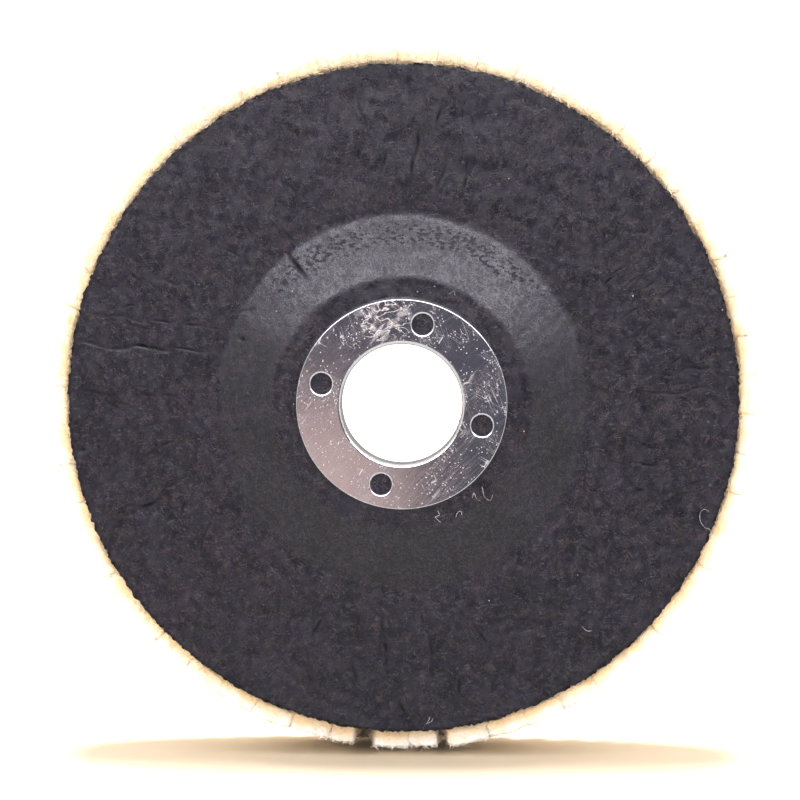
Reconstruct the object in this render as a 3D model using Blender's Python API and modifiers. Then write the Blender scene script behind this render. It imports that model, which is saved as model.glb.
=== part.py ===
"""Felt flap polishing wheel for a small angle grinder, 100 mm class with a 16 mm arbor hole.

The wheel stands on its rim. Its spin axis is world Y, the grinder side faces -Y and the felt working
side faces +Y. The origin is the centre of the arbor hole, in the plane of the arbor ring's back face.
Every piece is modelled about its own Z axis, with Z as the depth behind the ring's back face, and hangs
on one empty that turns that Z axis to world +Y.
"""

import math

import bmesh
import bpy

MM = 0.001
FIT_GAP = 0.3 * MM        # clear space between pieces that are pressed or glued together
ROUND_STEPS = 72          # facets round a turned piece
MERGE_DISTANCE = 0.01 * MM

# Arbor ring: stamped sheet with the bore edge turned down as a collar.
BORE_RADIUS = 8.0 * MM
RING_RADIUS = 14.0 * MM
RING_SHEET = 0.4 * MM
RING_BEND = 0.8 * MM      # outside radius of the turned bore edge
RING_EDGE = 0.1 * MM      # chamfer on the ring's rim
RING_BEND_STEPS = 3       # facets on the back of the bend
RING_INSIDE_STEPS = 2     # facets on its inside
COLLAR_DEPTH = 3.3 * MM
KEY_HOLE_RADIUS = 1.4 * MM
KEY_HOLE_CIRCLE = 11.0 * MM
KEY_HOLE_COUNT = 4
KEY_HOLE_FIRST_ANGLE = math.radians(14.5)
KEY_HOLE_FACETS = 20
PUNCH_LENGTH = 4 * RING_SHEET

# Backing plate: three pressed layers that share one dished profile.
PLATE_RADIUS = 45.0 * MM
HUB_FLAT_RADIUS = 16.6 * MM
CREASE_RADIUS = 24.6 * MM
HUB_RISE = 3.0 * MM
HUB_ROUND = 4.0 * MM      # back fillet where the hub turns into the cone
HUB_ROUND_STEPS = 2
CREASE_ROUND = 0.8 * MM   # back fillet where the cone meets the flat rim
CREASE_ROUND_STEPS = 1
CLOTH_THICKNESS = 0.35 * MM
LAMINATE_THICKNESS = 1.6 * MM
MESH_THICKNESS = 0.35 * MM
MESH_RADIUS = 44.4 * MM

# Adhesive bed under the flaps.
BED_INNER_RADIUS = 26.2 * MM
BED_OUTER_RADIUS = 44.2 * MM
BED_THICKNESS = 1.0 * MM
BED_EDGE = 0.4 * MM

# Felt flaps: twisted strips, shingled round the rim. Seen from the grinder the wheel turns clockwise,
# and each flap trails from its root, so it leans counter-clockwise.
FLAP_COUNT = 54
FLAP_INNER_RADIUS = 27.0 * MM
FLAP_OUTER_RADIUS = 48.0 * MM
FLAP_WIDTH = 16.0 * MM
FLAP_LEAN_INNER = math.radians(30.0)   # from the plate's plane, at the pinched inner end
FLAP_LEAN_OUTER = math.radians(21.0)   # the same at the rim
FLAP_CORNER = 3.5 * MM                 # rounding of the two corners at the rim
FLAP_CORNER_STEPS = 2
FLAP_LENGTH_STEPS = 3

CLOTH_DEPTH = RING_SHEET + FIT_GAP
LAMINATE_DEPTH = CLOTH_DEPTH + CLOTH_THICKNESS + FIT_GAP
MESH_DEPTH = LAMINATE_DEPTH + LAMINATE_THICKNESS + FIT_GAP
PLATE_HOLE_RADIUS = BORE_RADIUS + RING_SHEET + FIT_GAP
BED_DEPTH = MESH_DEPTH + HUB_RISE + MESH_THICKNESS + FIT_GAP
FLAP_FLOOR = BED_DEPTH + BED_THICKNESS + FIT_GAP
FLAP_PITCH_ANGLE = 2 * math.pi / FLAP_COUNT

COLOURS = {
    "plated_steel": ((0.62, 0.61, 0.62), 0.28, 1.0),
    "black_nonwoven": ((0.045, 0.042, 0.052), 0.85, 0.0),
    "phenolic_laminate": ((0.060, 0.040, 0.028), 0.60, 0.0),
    "glass_mesh": ((0.110, 0.085, 0.060), 0.55, 0.0),
    "cured_adhesive": ((0.090, 0.060, 0.040), 0.35, 0.0),
    "wool_felt": ((0.860, 0.790, 0.660), 0.95, 0.0),
}


def remove_scene_objects():
    for item in list(bpy.data.objects):
        bpy.data.objects.remove(item, do_unlink=True)


def new_collection(name):
    collection = bpy.data.collections.new(name)
    bpy.context.scene.collection.children.link(collection)
    return collection


def make_materials():
    materials = {}
    for name, (colour, roughness, metallic) in COLOURS.items():
        material = bpy.data.materials.new(name)
        material.use_nodes = True
        shader = material.node_tree.nodes["Principled BSDF"]
        shader.inputs["Base Color"].default_value = (*colour, 1.0)
        shader.inputs["Roughness"].default_value = roughness
        shader.inputs["Metallic"].default_value = metallic
        materials[name] = material
    return materials


def add_object(name, mesh, collection, axle, material=None):
    item = bpy.data.objects.new(name, mesh)
    collection.objects.link(item)
    item.parent = axle
    if material:
        mesh.materials.append(material)
    return item


def add_axle(collection):
    """An empty whose Z axis lies along world +Y: the spin axis that every piece hangs on."""
    axle = bpy.data.objects.new("spin_axis", None)
    axle.rotation_euler = (-math.pi / 2, 0, 0)
    axle.empty_display_size = PLATE_RADIUS
    collection.objects.link(axle)
    return axle


def arc(centre, radius, start, end, steps):
    """Points on an arc in the (radius, depth) plane, both ends included, angles in degrees."""
    angles = [math.radians(start + (end - start) * i / steps) for i in range(steps + 1)]
    return [(centre[0] + radius * math.cos(a), centre[1] + radius * math.sin(a)) for a in angles]


def turned_piece(name, profile, collection, axle, material):
    """Sweep a closed (radius, depth) profile round Z. Its outer side runs from deep to shallow."""
    mesh = bpy.data.meshes.new(name)
    edges = [(i, (i + 1) % len(profile)) for i in range(len(profile))]
    mesh.from_pydata([(radius, 0, depth) for radius, depth in profile], edges, [])
    item = add_object(name, mesh, collection, axle, material)
    screw = item.modifiers.new("turn", "SCREW")
    screw.axis = "Z"
    screw.angle = 2 * math.pi
    screw.steps = ROUND_STEPS
    screw.render_steps = ROUND_STEPS
    screw.use_merge_vertices = True
    screw.merge_threshold = MERGE_DISTANCE
    screw.use_smooth_shade = True
    return item


def ring_profile():
    bend_centre = (BORE_RADIUS + RING_BEND, RING_BEND)
    inside_bend = RING_BEND - RING_SHEET
    collar_end = [(BORE_RADIUS, COLLAR_DEPTH), (BORE_RADIUS + RING_SHEET, COLLAR_DEPTH)]
    front_bend = arc(bend_centre, inside_bend, 180, 270, RING_INSIDE_STEPS)
    rim = [
        (RING_RADIUS - RING_EDGE, RING_SHEET),
        (RING_RADIUS, RING_SHEET - RING_EDGE),
        (RING_RADIUS, RING_EDGE),
        (RING_RADIUS - RING_EDGE, 0),
    ]
    back_bend = arc(bend_centre, RING_BEND, 270, 180, RING_BEND_STEPS)
    return collar_end + front_bend + rim + back_bend


def make_arbor_ring(collection, cutters, axle, material):
    """The turned ring with its collar, punched with one round hole after another."""
    ring = turned_piece("arbor_ring", ring_profile(), collection, axle, material)
    for i in range(KEY_HOLE_COUNT):
        angle = KEY_HOLE_FIRST_ANGLE + i * 2 * math.pi / KEY_HOLE_COUNT
        across, along = KEY_HOLE_CIRCLE * math.cos(angle), KEY_HOLE_CIRCLE * math.sin(angle)
        shape = bmesh.new()
        bmesh.ops.create_cone(
            shape, cap_ends=True, segments=KEY_HOLE_FACETS,
            radius1=KEY_HOLE_RADIUS, radius2=KEY_HOLE_RADIUS, depth=PUNCH_LENGTH,
        )
        mesh = bpy.data.meshes.new(f"key_hole_{i + 1}")
        shape.to_mesh(mesh)
        shape.free()
        punch = add_object(f"key_hole_{i + 1}", mesh, cutters, axle)
        punch.location = (across, along, RING_SHEET / 2)
        punch.display_type = "WIRE"
        punch.hide_render = True
        cut = ring.modifiers.new(f"key_hole_{i + 1}", "BOOLEAN")
        cut.operation = "DIFFERENCE"
        cut.object = punch


def rounded_corner(corner, start, end, radius, steps):
    """Fillet points where a line turns from one angle to another, in radians from the radial direction."""
    turn = end - start
    reach = radius * math.tan(abs(turn) / 2)
    side = math.copysign(1, turn)
    tangent = (corner[0] - reach * math.cos(start), corner[1] - reach * math.sin(start))
    centre = (tangent[0] - side * radius * math.sin(start), tangent[1] + side * radius * math.cos(start))
    points = []
    for i in range(steps + 1):
        heading = start + turn * i / steps
        outward, deeper = side * radius * math.sin(heading), -side * radius * math.cos(heading)
        points.append((centre[0] + outward, centre[1] + deeper))
    return points


def dish_line(inner, outer, below):
    """The plate's dished line from the hub out to the rim, at a distance below the cloth's back face."""
    cone = math.atan2(HUB_RISE, CREASE_RADIUS - HUB_FLAT_RADIUS)
    shift = below * math.tan(cone / 2)
    hub = CLOTH_DEPTH + below
    rim = hub + HUB_RISE
    shoulder = rounded_corner((HUB_FLAT_RADIUS - shift, hub), 0, cone, HUB_ROUND - below, HUB_ROUND_STEPS)
    crease = rounded_corner((CREASE_RADIUS - shift, rim), cone, 0, CREASE_ROUND + below, CREASE_ROUND_STEPS)
    return [(inner, hub)] + shoulder + crease + [(outer, rim)]


def make_layer(name, depth, thickness, outer, collection, axle, material):
    """One pressed layer of the plate. Its front line is its back line moved down by its thickness."""
    below = depth - CLOTH_DEPTH
    front = dish_line(PLATE_HOLE_RADIUS, outer, below + thickness)
    back = dish_line(PLATE_HOLE_RADIUS, outer, below)
    return turned_piece(name, front + back[::-1], collection, axle, material)


def make_adhesive_ring(collection, axle, material):
    deep = BED_DEPTH + BED_THICKNESS
    profile = [
        (BED_INNER_RADIUS + BED_EDGE, deep),
        (BED_OUTER_RADIUS - BED_EDGE, deep),
        (BED_OUTER_RADIUS, deep - BED_EDGE),
        (BED_OUTER_RADIUS, BED_DEPTH),
        (BED_INNER_RADIUS, BED_DEPTH),
        (BED_INNER_RADIUS, deep - BED_EDGE),
    ]
    return turned_piece("adhesive_ring", profile, collection, axle, material)


def flap_lean(radius):
    share = (radius - FLAP_INNER_RADIUS) / (FLAP_OUTER_RADIUS - FLAP_INNER_RADIUS)
    return FLAP_LEAN_INNER + share * (FLAP_LEAN_OUTER - FLAP_LEAN_INNER)


def flap_thickness(radius):
    """What the pitch leaves at this radius once the gap to the next flap is taken off."""
    return radius * FLAP_PITCH_ANGLE * math.sin(flap_lean(radius)) - FIT_GAP


def flap_end_radius(across):
    """Outer end of the flap at a distance across its width, with both rim corners rounded."""
    into_corner = FLAP_CORNER - min(across, FLAP_WIDTH - across)
    if into_corner <= 0:
        return FLAP_OUTER_RADIUS
    return FLAP_OUTER_RADIUS - FLAP_CORNER + math.sqrt(FLAP_CORNER**2 - into_corner**2)


def flap_widths():
    """Stations across the flap: close together in the two rounded corners, one wide step between them."""
    turns = [math.pi / 2 * i / FLAP_CORNER_STEPS for i in range(FLAP_CORNER_STEPS + 1)]
    near = [FLAP_CORNER * (1 - math.cos(turn)) for turn in turns]
    return near + [FLAP_WIDTH - across for across in reversed(near)]


def flap_point(along, across, face):
    """A point of the flap at a share of its length, a distance across it, and a face: -1 (plate) or +1."""
    radius = FLAP_INNER_RADIUS + along * (flap_end_radius(across) - FLAP_INNER_RADIUS)
    lean = flap_lean(radius)
    half = face * flap_thickness(radius) / 2
    root = FLAP_FLOOR + flap_thickness(FLAP_OUTER_RADIUS) / 2
    sideways = across * math.cos(lean) - half * math.sin(lean)
    depth = root + across * math.sin(lean) + half * math.cos(lean)
    angle = -sideways / radius
    return (radius * math.cos(angle), radius * math.sin(angle), depth)


def make_flap_mesh(material):
    """A cube cut into stations along and across, its corners then moved onto the twisted strip."""
    widths = flap_widths()
    shape = bmesh.new()
    bmesh.ops.create_cube(shape, size=1.0)
    for axis, cuts in ((0, FLAP_LENGTH_STEPS - 1), (1, len(widths) - 2)):
        edges = [e for e in shape.edges if abs(e.verts[0].co[axis] - e.verts[1].co[axis]) > 0.5]
        bmesh.ops.subdivide_edges(shape, edges=edges, cuts=cuts, use_grid_fill=True)
    for vert in shape.verts:
        along, across, face = (value + 0.5 for value in vert.co)
        width = widths[round(across * (len(widths) - 1))]
        vert.co = flap_point(along, width, 1 - 2 * round(face))
    mesh = bpy.data.meshes.new("felt_flap")
    shape.to_mesh(mesh)
    shape.free()
    mesh.materials.append(material)
    return mesh


def make_flaps(collection, axle, material):
    mesh = make_flap_mesh(material)
    for i in range(FLAP_COUNT):
        flap = add_object(f"flap_{i + 1:02d}", mesh, collection, axle)
        flap.rotation_euler = (0, 0, i * FLAP_PITCH_ANGLE)


def main():
    remove_scene_objects()
    wheel = new_collection("felt_flap_wheel")
    cutters = new_collection("cutters")
    axle = add_axle(wheel)
    materials = make_materials()
    make_arbor_ring(wheel, cutters, axle, materials["plated_steel"])
    layers = (
        ("back_cloth", CLOTH_DEPTH, CLOTH_THICKNESS, PLATE_RADIUS, "black_nonwoven"),
        ("backing_laminate", LAMINATE_DEPTH, LAMINATE_THICKNESS, PLATE_RADIUS, "phenolic_laminate"),
        ("glass_mesh", MESH_DEPTH, MESH_THICKNESS, MESH_RADIUS, "glass_mesh"),
    )
    for name, depth, thickness, outer, finish in layers:
        make_layer(name, depth, thickness, outer, wheel, axle, materials[finish])
    make_adhesive_ring(wheel, axle, materials["cured_adhesive"])
    make_flaps(wheel, axle, materials["wool_felt"])


main()
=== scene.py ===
"""Looks of a felt flap polishing wheel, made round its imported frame.

The wheel stands on its rim. Its spin axis is world Y, the grinder side faces -Y and the felt faces +Y.
A place on the wheel is given by its radius from the spin axis, its angle (0 at +X, 90 degrees at +Z) and its
depth, which is Y.
"""

import math

import bmesh
import bpy
import numpy as np
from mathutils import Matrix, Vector


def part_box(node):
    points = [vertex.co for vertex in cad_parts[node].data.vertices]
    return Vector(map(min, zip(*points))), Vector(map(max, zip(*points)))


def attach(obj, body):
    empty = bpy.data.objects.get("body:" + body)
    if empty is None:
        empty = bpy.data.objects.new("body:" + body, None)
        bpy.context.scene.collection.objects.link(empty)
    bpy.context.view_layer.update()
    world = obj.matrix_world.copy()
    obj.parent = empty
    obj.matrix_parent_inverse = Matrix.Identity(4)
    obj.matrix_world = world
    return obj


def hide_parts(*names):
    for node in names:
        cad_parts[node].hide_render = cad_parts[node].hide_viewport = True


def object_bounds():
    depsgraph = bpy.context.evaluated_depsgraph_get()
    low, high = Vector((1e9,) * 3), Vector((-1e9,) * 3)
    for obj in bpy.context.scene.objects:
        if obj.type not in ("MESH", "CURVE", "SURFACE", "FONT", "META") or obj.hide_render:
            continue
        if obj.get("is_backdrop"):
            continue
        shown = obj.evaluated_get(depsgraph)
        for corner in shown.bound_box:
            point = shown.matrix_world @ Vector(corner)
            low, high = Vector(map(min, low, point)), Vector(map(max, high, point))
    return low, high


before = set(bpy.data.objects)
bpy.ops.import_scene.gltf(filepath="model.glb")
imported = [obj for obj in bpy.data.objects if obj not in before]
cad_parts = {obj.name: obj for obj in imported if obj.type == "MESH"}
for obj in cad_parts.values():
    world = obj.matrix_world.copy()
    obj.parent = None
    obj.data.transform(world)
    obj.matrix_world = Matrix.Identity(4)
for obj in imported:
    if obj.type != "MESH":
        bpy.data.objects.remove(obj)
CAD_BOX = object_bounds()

bl_info = {
    "name": "Felt Flap Wheel",
    "version": (1, 0, 0),
    "blender": (4, 5, 0),
    "location": "View3D > Sidebar > Felt Wheel",
    "description": "Makes the looks of a felt flap polishing wheel round its packed frame",
    "category": "Add Mesh",
}

MM = 0.001
BODY = "root"

_, RING_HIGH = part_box("arbor_ring")
CLOTH_LOW, CLOTH_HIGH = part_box("back_cloth")
GLASS_LOW, GLASS_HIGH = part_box("glass_mesh")
BED_LOW, BED_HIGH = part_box("adhesive_ring")
FLAP_NODES = sorted(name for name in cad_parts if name.startswith("flap_"))
FLAP_FLOOR = min(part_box(name)[0].y for name in FLAP_NODES)
WHEEL_RADIUS = max(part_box(name)[1].z for name in FLAP_NODES)
GLASS_PLY = 0.35 * MM
HUB_RISE = GLASS_HIGH.y - GLASS_LOW.y - GLASS_PLY
PITCH = 2 * math.pi / len(FLAP_NODES)
# Where the pile is parted at the rim, on the grinder side: heading and width of each gap.
GAPS = {"Gap A": (math.radians(-96.5), 1.9 * MM), "Gap B": (math.radians(-83.4), 1.0 * MM)}
# The nap starts just inside the plate's rim and is full just past it.
NAP_START = 44.4 * MM
NAP_FULL = 45.4 * MM


# ---------------------------------------------------------------- sizes and colours

class ArborRingSizes(bpy.types.PropertyGroup):
    bore: bpy.props.FloatProperty(
        name="Bore radius", description="Inside of the turned-down collar", default=8.0 * MM, unit="LENGTH")
    sheet: bpy.props.FloatProperty(
        name="Sheet", description="Thickness of the stamped sheet", default=0.4 * MM, unit="LENGTH")
    bend: bpy.props.FloatProperty(
        name="Bend", description="Outside radius of the turned edge", default=0.5 * MM, unit="LENGTH")
    key_hole: bpy.props.FloatProperty(
        name="Key hole radius", description="Clear radius of each keying hole",
        default=1.4 * MM, unit="LENGTH")
    key_circle: bpy.props.FloatProperty(
        name="Key hole circle", description="Radius on which the holes lie", default=11.0 * MM, unit="LENGTH")
    key_count: bpy.props.IntProperty(
        name="Key holes", description="Number of keying holes", default=4)
    key_angle: bpy.props.FloatProperty(
        name="First hole", description="Angle of the first hole",
        default=math.radians(-14.5), subtype="ANGLE")
    tint: bpy.props.FloatVectorProperty(
        name="Metal", description="Colour of the plated sheet", default=(0.78, 0.77, 0.79), subtype="COLOR")


class PlateSizes(bpy.types.PropertyGroup):
    hub_radius: bpy.props.FloatProperty(
        name="Hub radius", description="Where the flat hub turns into the cone",
        default=17.0 * MM, unit="LENGTH")
    crease_radius: bpy.props.FloatProperty(
        name="Crease radius", description="Where the cone meets the flat rim",
        default=24.6 * MM, unit="LENGTH")
    hub_round: bpy.props.FloatProperty(
        name="Hub fillet", description="Fillet between hub and cone", default=2.2 * MM, unit="LENGTH")
    crease_round: bpy.props.FloatProperty(
        name="Crease fillet", description="Fillet between cone and rim", default=0.8 * MM, unit="LENGTH")
    hole: bpy.props.FloatProperty(
        name="Plate hole", description="Radius of the hole round the collar", default=8.7 * MM, unit="LENGTH")
    cloth: bpy.props.FloatProperty(
        name="Cloth", description="Thickness of the facing cloth", default=0.35 * MM, unit="LENGTH")
    cloth_dark: bpy.props.FloatVectorProperty(
        name="Cloth, dark", description="Dark patches of the facing", default=(0.0012, 0.0009, 0.0017),
        subtype="COLOR")
    cloth_light: bpy.props.FloatVectorProperty(
        name="Cloth, light", description="Light patches of the facing", default=(0.0112, 0.0094, 0.0176),
        subtype="COLOR")


class FlapSizes(bpy.types.PropertyGroup):
    inner: bpy.props.FloatProperty(
        name="Inner radius", description="Where a flap begins", default=27.0 * MM, unit="LENGTH")
    width: bpy.props.FloatProperty(
        name="Width", description="Flap width from root edge to free edge", default=16.0 * MM, unit="LENGTH")
    lean_inner: bpy.props.FloatProperty(
        name="Lean inside", description="Lean from the plate at the inner end", default=math.radians(30),
        subtype="ANGLE")
    lean_outer: bpy.props.FloatProperty(
        name="Lean at rim", description="Lean from the plate at the rim", default=math.radians(21),
        subtype="ANGLE")
    corner: bpy.props.FloatProperty(
        name="Corner", description="Rounding of the corners at the rim", default=1.3 * MM, unit="LENGTH")
    soft_edge: bpy.props.FloatProperty(
        name="Soft edge", description="Rounding of the cut edges", default=0.6 * MM, unit="LENGTH")
    # The felt's own tone: the cream near the plate is partly painted shade, and the white at the outer ends
    # is partly painted light.
    cream: bpy.props.FloatVectorProperty(
        name="Cream", description="Felt near the plate", default=(0.930, 0.735, 0.458), subtype="COLOR")
    white: bpy.props.FloatVectorProperty(
        name="White", description="Felt at its worn outer ends",
        default=(0.970, 0.926, 0.836), subtype="COLOR")


class StageSizes(bpy.types.PropertyGroup):
    lens: bpy.props.FloatProperty(
        name="Lens", description="Focal length in millimetres", default=105.075)
    distance: bpy.props.FloatProperty(
        name="Distance", description="Camera to target", default=0.309, unit="LENGTH")
    azimuth: bpy.props.FloatProperty(
        name="Azimuth", description="Camera swing to the right", default=math.radians(1.67), subtype="ANGLE")
    elevation: bpy.props.FloatProperty(
        name="Elevation", description="Camera height over the axis",
        default=math.radians(5.52), subtype="ANGLE")


# ---------------------------------------------------------------- small tools

def polar(radius, angle, depth):
    """World place of a point on the wheel; numbers or arrays."""
    return radius * np.cos(angle), depth, radius * np.sin(angle)


def points_at(radius, angle, depth):
    """A list of world places from arrays of the same shape."""
    return np.stack(polar(radius, angle, depth), axis=-1).reshape(-1, 3)


def smooth_step(value, low, high):
    """0 below the low end, 1 above the high end and an even ease between them."""
    share = np.clip((value - low) / (high - low), 0.0, 1.0)
    return share * share * (3 - 2 * share)


def ripple_field(x, z, length, seed, waves=28):
    """Smooth bumps of about one size, mostly within -1 to 1: sine waves in seeded directions."""
    rng = np.random.default_rng(seed)
    total = np.zeros_like(x)
    for turn, phase, stretch in rng.uniform(0, 1, (waves, 3)):
        heading = 2 * math.pi * turn
        wave = 2 * math.pi / (length * (0.7 + 0.7 * stretch))
        total += np.sin(wave * (x * math.cos(heading) + z * math.sin(heading)) + 2 * math.pi * phase)
    return total / math.sqrt(waves / 2) / 1.6


def new_object(name, mesh):
    piece = bpy.data.objects.new(name, mesh)
    bpy.context.scene.collection.objects.link(piece)
    return piece


def mesh_from(name, verts, faces):
    mesh = bpy.data.meshes.new(name)
    mesh.from_pydata([tuple(v) for v in verts], [], faces)
    mesh.update()
    return mesh


def grid_faces(rows, columns, start=0, closed=True):
    """Quads between rows of points; closed rows join their last point to their first."""
    faces = []
    for row in range(rows - 1):
        for column in range(columns if closed else columns - 1):
            after = (column + 1) % columns
            a = start + row * columns
            b = a + columns
            faces.append((a + column, a + after, b + after, b + column))
    return faces


def face_outward(mesh, merge=None):
    """Turn every face of a closed mesh outward; with a merge distance, nearer points become one first."""
    shape = bmesh.new()
    shape.from_mesh(mesh)
    if merge:
        bmesh.ops.remove_doubles(shape, verts=shape.verts, dist=merge)
    bmesh.ops.recalc_face_normals(shape, faces=shape.faces)
    shape.to_mesh(mesh)
    shape.free()


def turned_mesh(name, radii, depths, steps):
    """A closed profile swept round the spin axis. Radii and depths may be arrays of shape (points, steps)."""
    angles = np.linspace(0, 2 * math.pi, steps, endpoint=False)
    radii = np.broadcast_to(np.asarray(radii).reshape(len(radii), -1), (len(radii), steps))
    depths = np.broadcast_to(np.asarray(depths).reshape(len(depths), -1), (len(depths), steps))
    faces = grid_faces(len(radii), steps)
    last = (len(radii) - 1) * steps
    for column in range(steps):
        after = (column + 1) % steps
        faces.append((last + column, last + after, after, column))
    mesh = mesh_from(name, points_at(radii, angles[None, :], depths), faces)
    face_outward(mesh, 1e-7)
    mesh.shade_smooth()
    return mesh


def store_attribute(mesh, name, values):
    layer = mesh.attributes.new(name, "FLOAT", "POINT")
    layer.data.foreach_set("value", np.asarray(values, np.float32).ravel())


def finish_piece(piece, material, slot, *nodes):
    """Give a piece its material, hang it on the frame's body and hide the frame's parts that it stands in
    for.
    """
    piece.data.materials.clear()
    piece.data.materials.append(material)
    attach(piece, BODY)
    if nodes:
        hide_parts(*nodes)
    return piece


class NodeBench:
    """Short calls that add nodes to one tree, for materials and for geometry."""

    def __init__(self, tree):
        self.tree = tree

    def add(self, kind, inputs=None, **settings):
        node = self.tree.nodes.new(kind)
        for key, value in settings.items():
            setattr(node, key, value)
        for key, value in (inputs or {}).items():
            self.plug(node.inputs[key], value)
        return node

    def plug(self, socket, value):
        if isinstance(value, bpy.types.NodeSocket):
            self.tree.links.new(value, socket)
        else:
            socket.default_value = value

    def math(self, operation, *values, clamp=False):
        node = self.add("ShaderNodeMath", dict(enumerate(values)), operation=operation, use_clamp=clamp)
        return node.outputs[0]

    def chain(self, operation, first, others, clamp=False):
        for other in others:
            first = self.math(operation, first, other, clamp=clamp)
        return first

    def times(self, first, *others):
        return self.chain("MULTIPLY", first, others)

    def plus(self, first, *others, clamp=False):
        return self.chain("ADD", first, others, clamp)

    def minus(self, first, second, clamp=False):
        return self.math("SUBTRACT", first, second, clamp=clamp)

    def over(self, first, second):
        return self.math("DIVIDE", first, second)

    def most(self, first, *others):
        return self.chain("MAXIMUM", first, others)

    def blend(self, *shares):
        """Sum of values, each taken by its own share."""
        first, *others = [self.times(value, share) for value, share in shares]
        return self.plus(first, *others)

    def xyz(self, x=0.0, y=0.0, z=0.0):
        return self.add("ShaderNodeCombineXYZ", {0: x, 1: y, 2: z}).outputs[0]

    def parts(self, place):
        return self.add("ShaderNodeSeparateXYZ", {0: place}).outputs

    def random(self, low, high, seed):
        return self.add("FunctionNodeRandomValue", {2: low, 3: high, "Seed": seed}).outputs[1]

    def from_axis(self, place):
        """Distance of a place from the spin axis."""
        return self.vector("LENGTH", self.vector("MULTIPLY", place, (1, 0, 1)), out="Value")

    def from_heading(self, place, heading):
        """Distance round the wheel from a heading."""
        parts = self.parts(place)
        off = self.math("ABSOLUTE", self.minus(self.math("ARCTAN2", parts[2], parts[0]), heading))
        return self.times(off, self.from_axis(place))

    def scaled(self, vector, factor):
        return self.add("ShaderNodeVectorMath", {0: vector, "Scale": factor}, operation="SCALE").outputs[0]

    def pushed(self, geometry, offset):
        return self.add("GeometryNodeSetPosition", {"Geometry": geometry, "Offset": offset}).outputs[0]

    def vector(self, operation, *values, out="Vector"):
        node = self.add("ShaderNodeVectorMath", dict(enumerate(values)), operation=operation)
        return node.outputs[out]

    def span(self, value, low, high, to_low=0.0, to_high=1.0, smooth=True):
        """Value carried from one range to another, held at both ends."""
        ends = {0: value, 1: low, 2: high, 3: to_low, 4: to_high}
        kind = "SMOOTHSTEP" if smooth else "LINEAR"
        return self.add("ShaderNodeMapRange", ends, interpolation_type=kind).outputs[0]

    def mix(self, factor, first, second):
        node = self.add("ShaderNodeMix", {0: factor, 6: first, 7: second}, data_type="RGBA")
        return node.outputs[2]

    def noise(self, where, scale, detail=2.0, roughness=0.5, distortion=0.0):
        inputs = {"Vector": where, "Scale": scale, "Detail": detail, "Roughness": roughness,
                  "Distortion": distortion}
        return self.add("ShaderNodeTexNoise", inputs).outputs["Fac"]

    def cells(self, where, scale, feature="F1"):
        inputs = {"Vector": where, "Scale": scale}
        return self.add("ShaderNodeTexVoronoi", inputs, feature=feature)

    def turned(self, where, rotation, scale=(1, 1, 1)):
        """Coordinates for a texture, turned and stretched."""
        inputs = {"Vector": where, "Rotation": rotation, "Scale": scale}
        return self.add("ShaderNodeMapping", inputs).outputs[0]

    def streaks(self, where, angle, across, along, detail=2.0):
        """Noise drawn out into grain lines that run at an angle in the wheel's plane."""
        laid = self.turned(where, (0, angle, 0))
        drawn = self.vector("MULTIPLY", laid, (along, across, across))
        return self.noise(drawn, 1.0, detail)

    def thin_lines(self, value, half_width):
        """1 on the thin lines where a noise passes its middle, 0 elsewhere."""
        off = self.math("ABSOLUTE", self.minus(value, 0.5))
        return self.span(off, 0.0, half_width, 1.0, 0.0)

    def line_web(self, where, runs, detail, patches=None):
        """Thin lines in several directions: angle, density across and along, half width of each run.

        With patches, a pair of densities, a run shows only in patches that differ from run to run.
        """
        web = None
        for angle, across, along, half_width in runs:
            lines = self.thin_lines(self.streaks(where, angle, across, along, detail), half_width)
            if patches:
                shown = self.noise(where, patches[0] + patches[1] * angle, 1.0)
                lines = self.times(lines, self.span(shown, 0.50, 0.58))
            web = lines if web is None else self.most(web, lines)
        return web

    def bump(self, height, distance, strength):
        inputs = {"Strength": strength, "Distance": distance, "Height": height}
        return self.add("ShaderNodeBump", inputs).outputs[0]


def new_material(name, metallic=0.0, specular=0.5, **constants):
    """A material, a bench for its nodes, its shader, object coordinates and the radius from the spin axis."""
    material = bpy.data.materials.new(name)
    material.use_nodes = True
    bench = NodeBench(material.node_tree)
    shader = material.node_tree.nodes["Principled BSDF"]
    shader.inputs["Metallic"].default_value = metallic
    shader.inputs["Specular IOR Level"].default_value = specular
    for key, value in constants.items():
        shader.inputs[key.replace("_", " ")].default_value = value
    where = bench.add("ShaderNodeTexCoord").outputs["Object"]
    return material, bench, shader, where, bench.from_axis(where)


def plain(colour):
    return (*colour, 1.0)


# ---------------------------------------------------------------- geometry node trees

def new_tree(name, sizes):
    """A geometry tree with named inputs and their defaults, and a dictionary of the input sockets."""
    tree = bpy.data.node_groups.new(name, "GeometryNodeTree")
    face = tree.interface
    face.new_socket("Geometry", in_out="INPUT", socket_type="NodeSocketGeometry")
    for title, value in sizes.items():
        kind = {int: "NodeSocketInt", float: "NodeSocketFloat"}[type(value)]
        face.new_socket(title, in_out="INPUT", socket_type=kind).default_value = value
    face.new_socket("Material", in_out="INPUT", socket_type="NodeSocketMaterial")
    face.new_socket("Geometry", in_out="OUTPUT", socket_type="NodeSocketGeometry")
    bench = NodeBench(tree)
    given = bench.add("NodeGroupInput").outputs
    return tree, bench, {socket.name: socket for socket in given if socket.name}


def close_tree(bench, geometry, material):
    real = bench.add("GeometryNodeRealizeInstances", {"Geometry": geometry}).outputs[0]
    painted = bench.add("GeometryNodeSetMaterial", {"Geometry": real, "Material": material}).outputs[0]
    bench.add("NodeGroupOutput", {"Geometry": painted})


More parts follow.
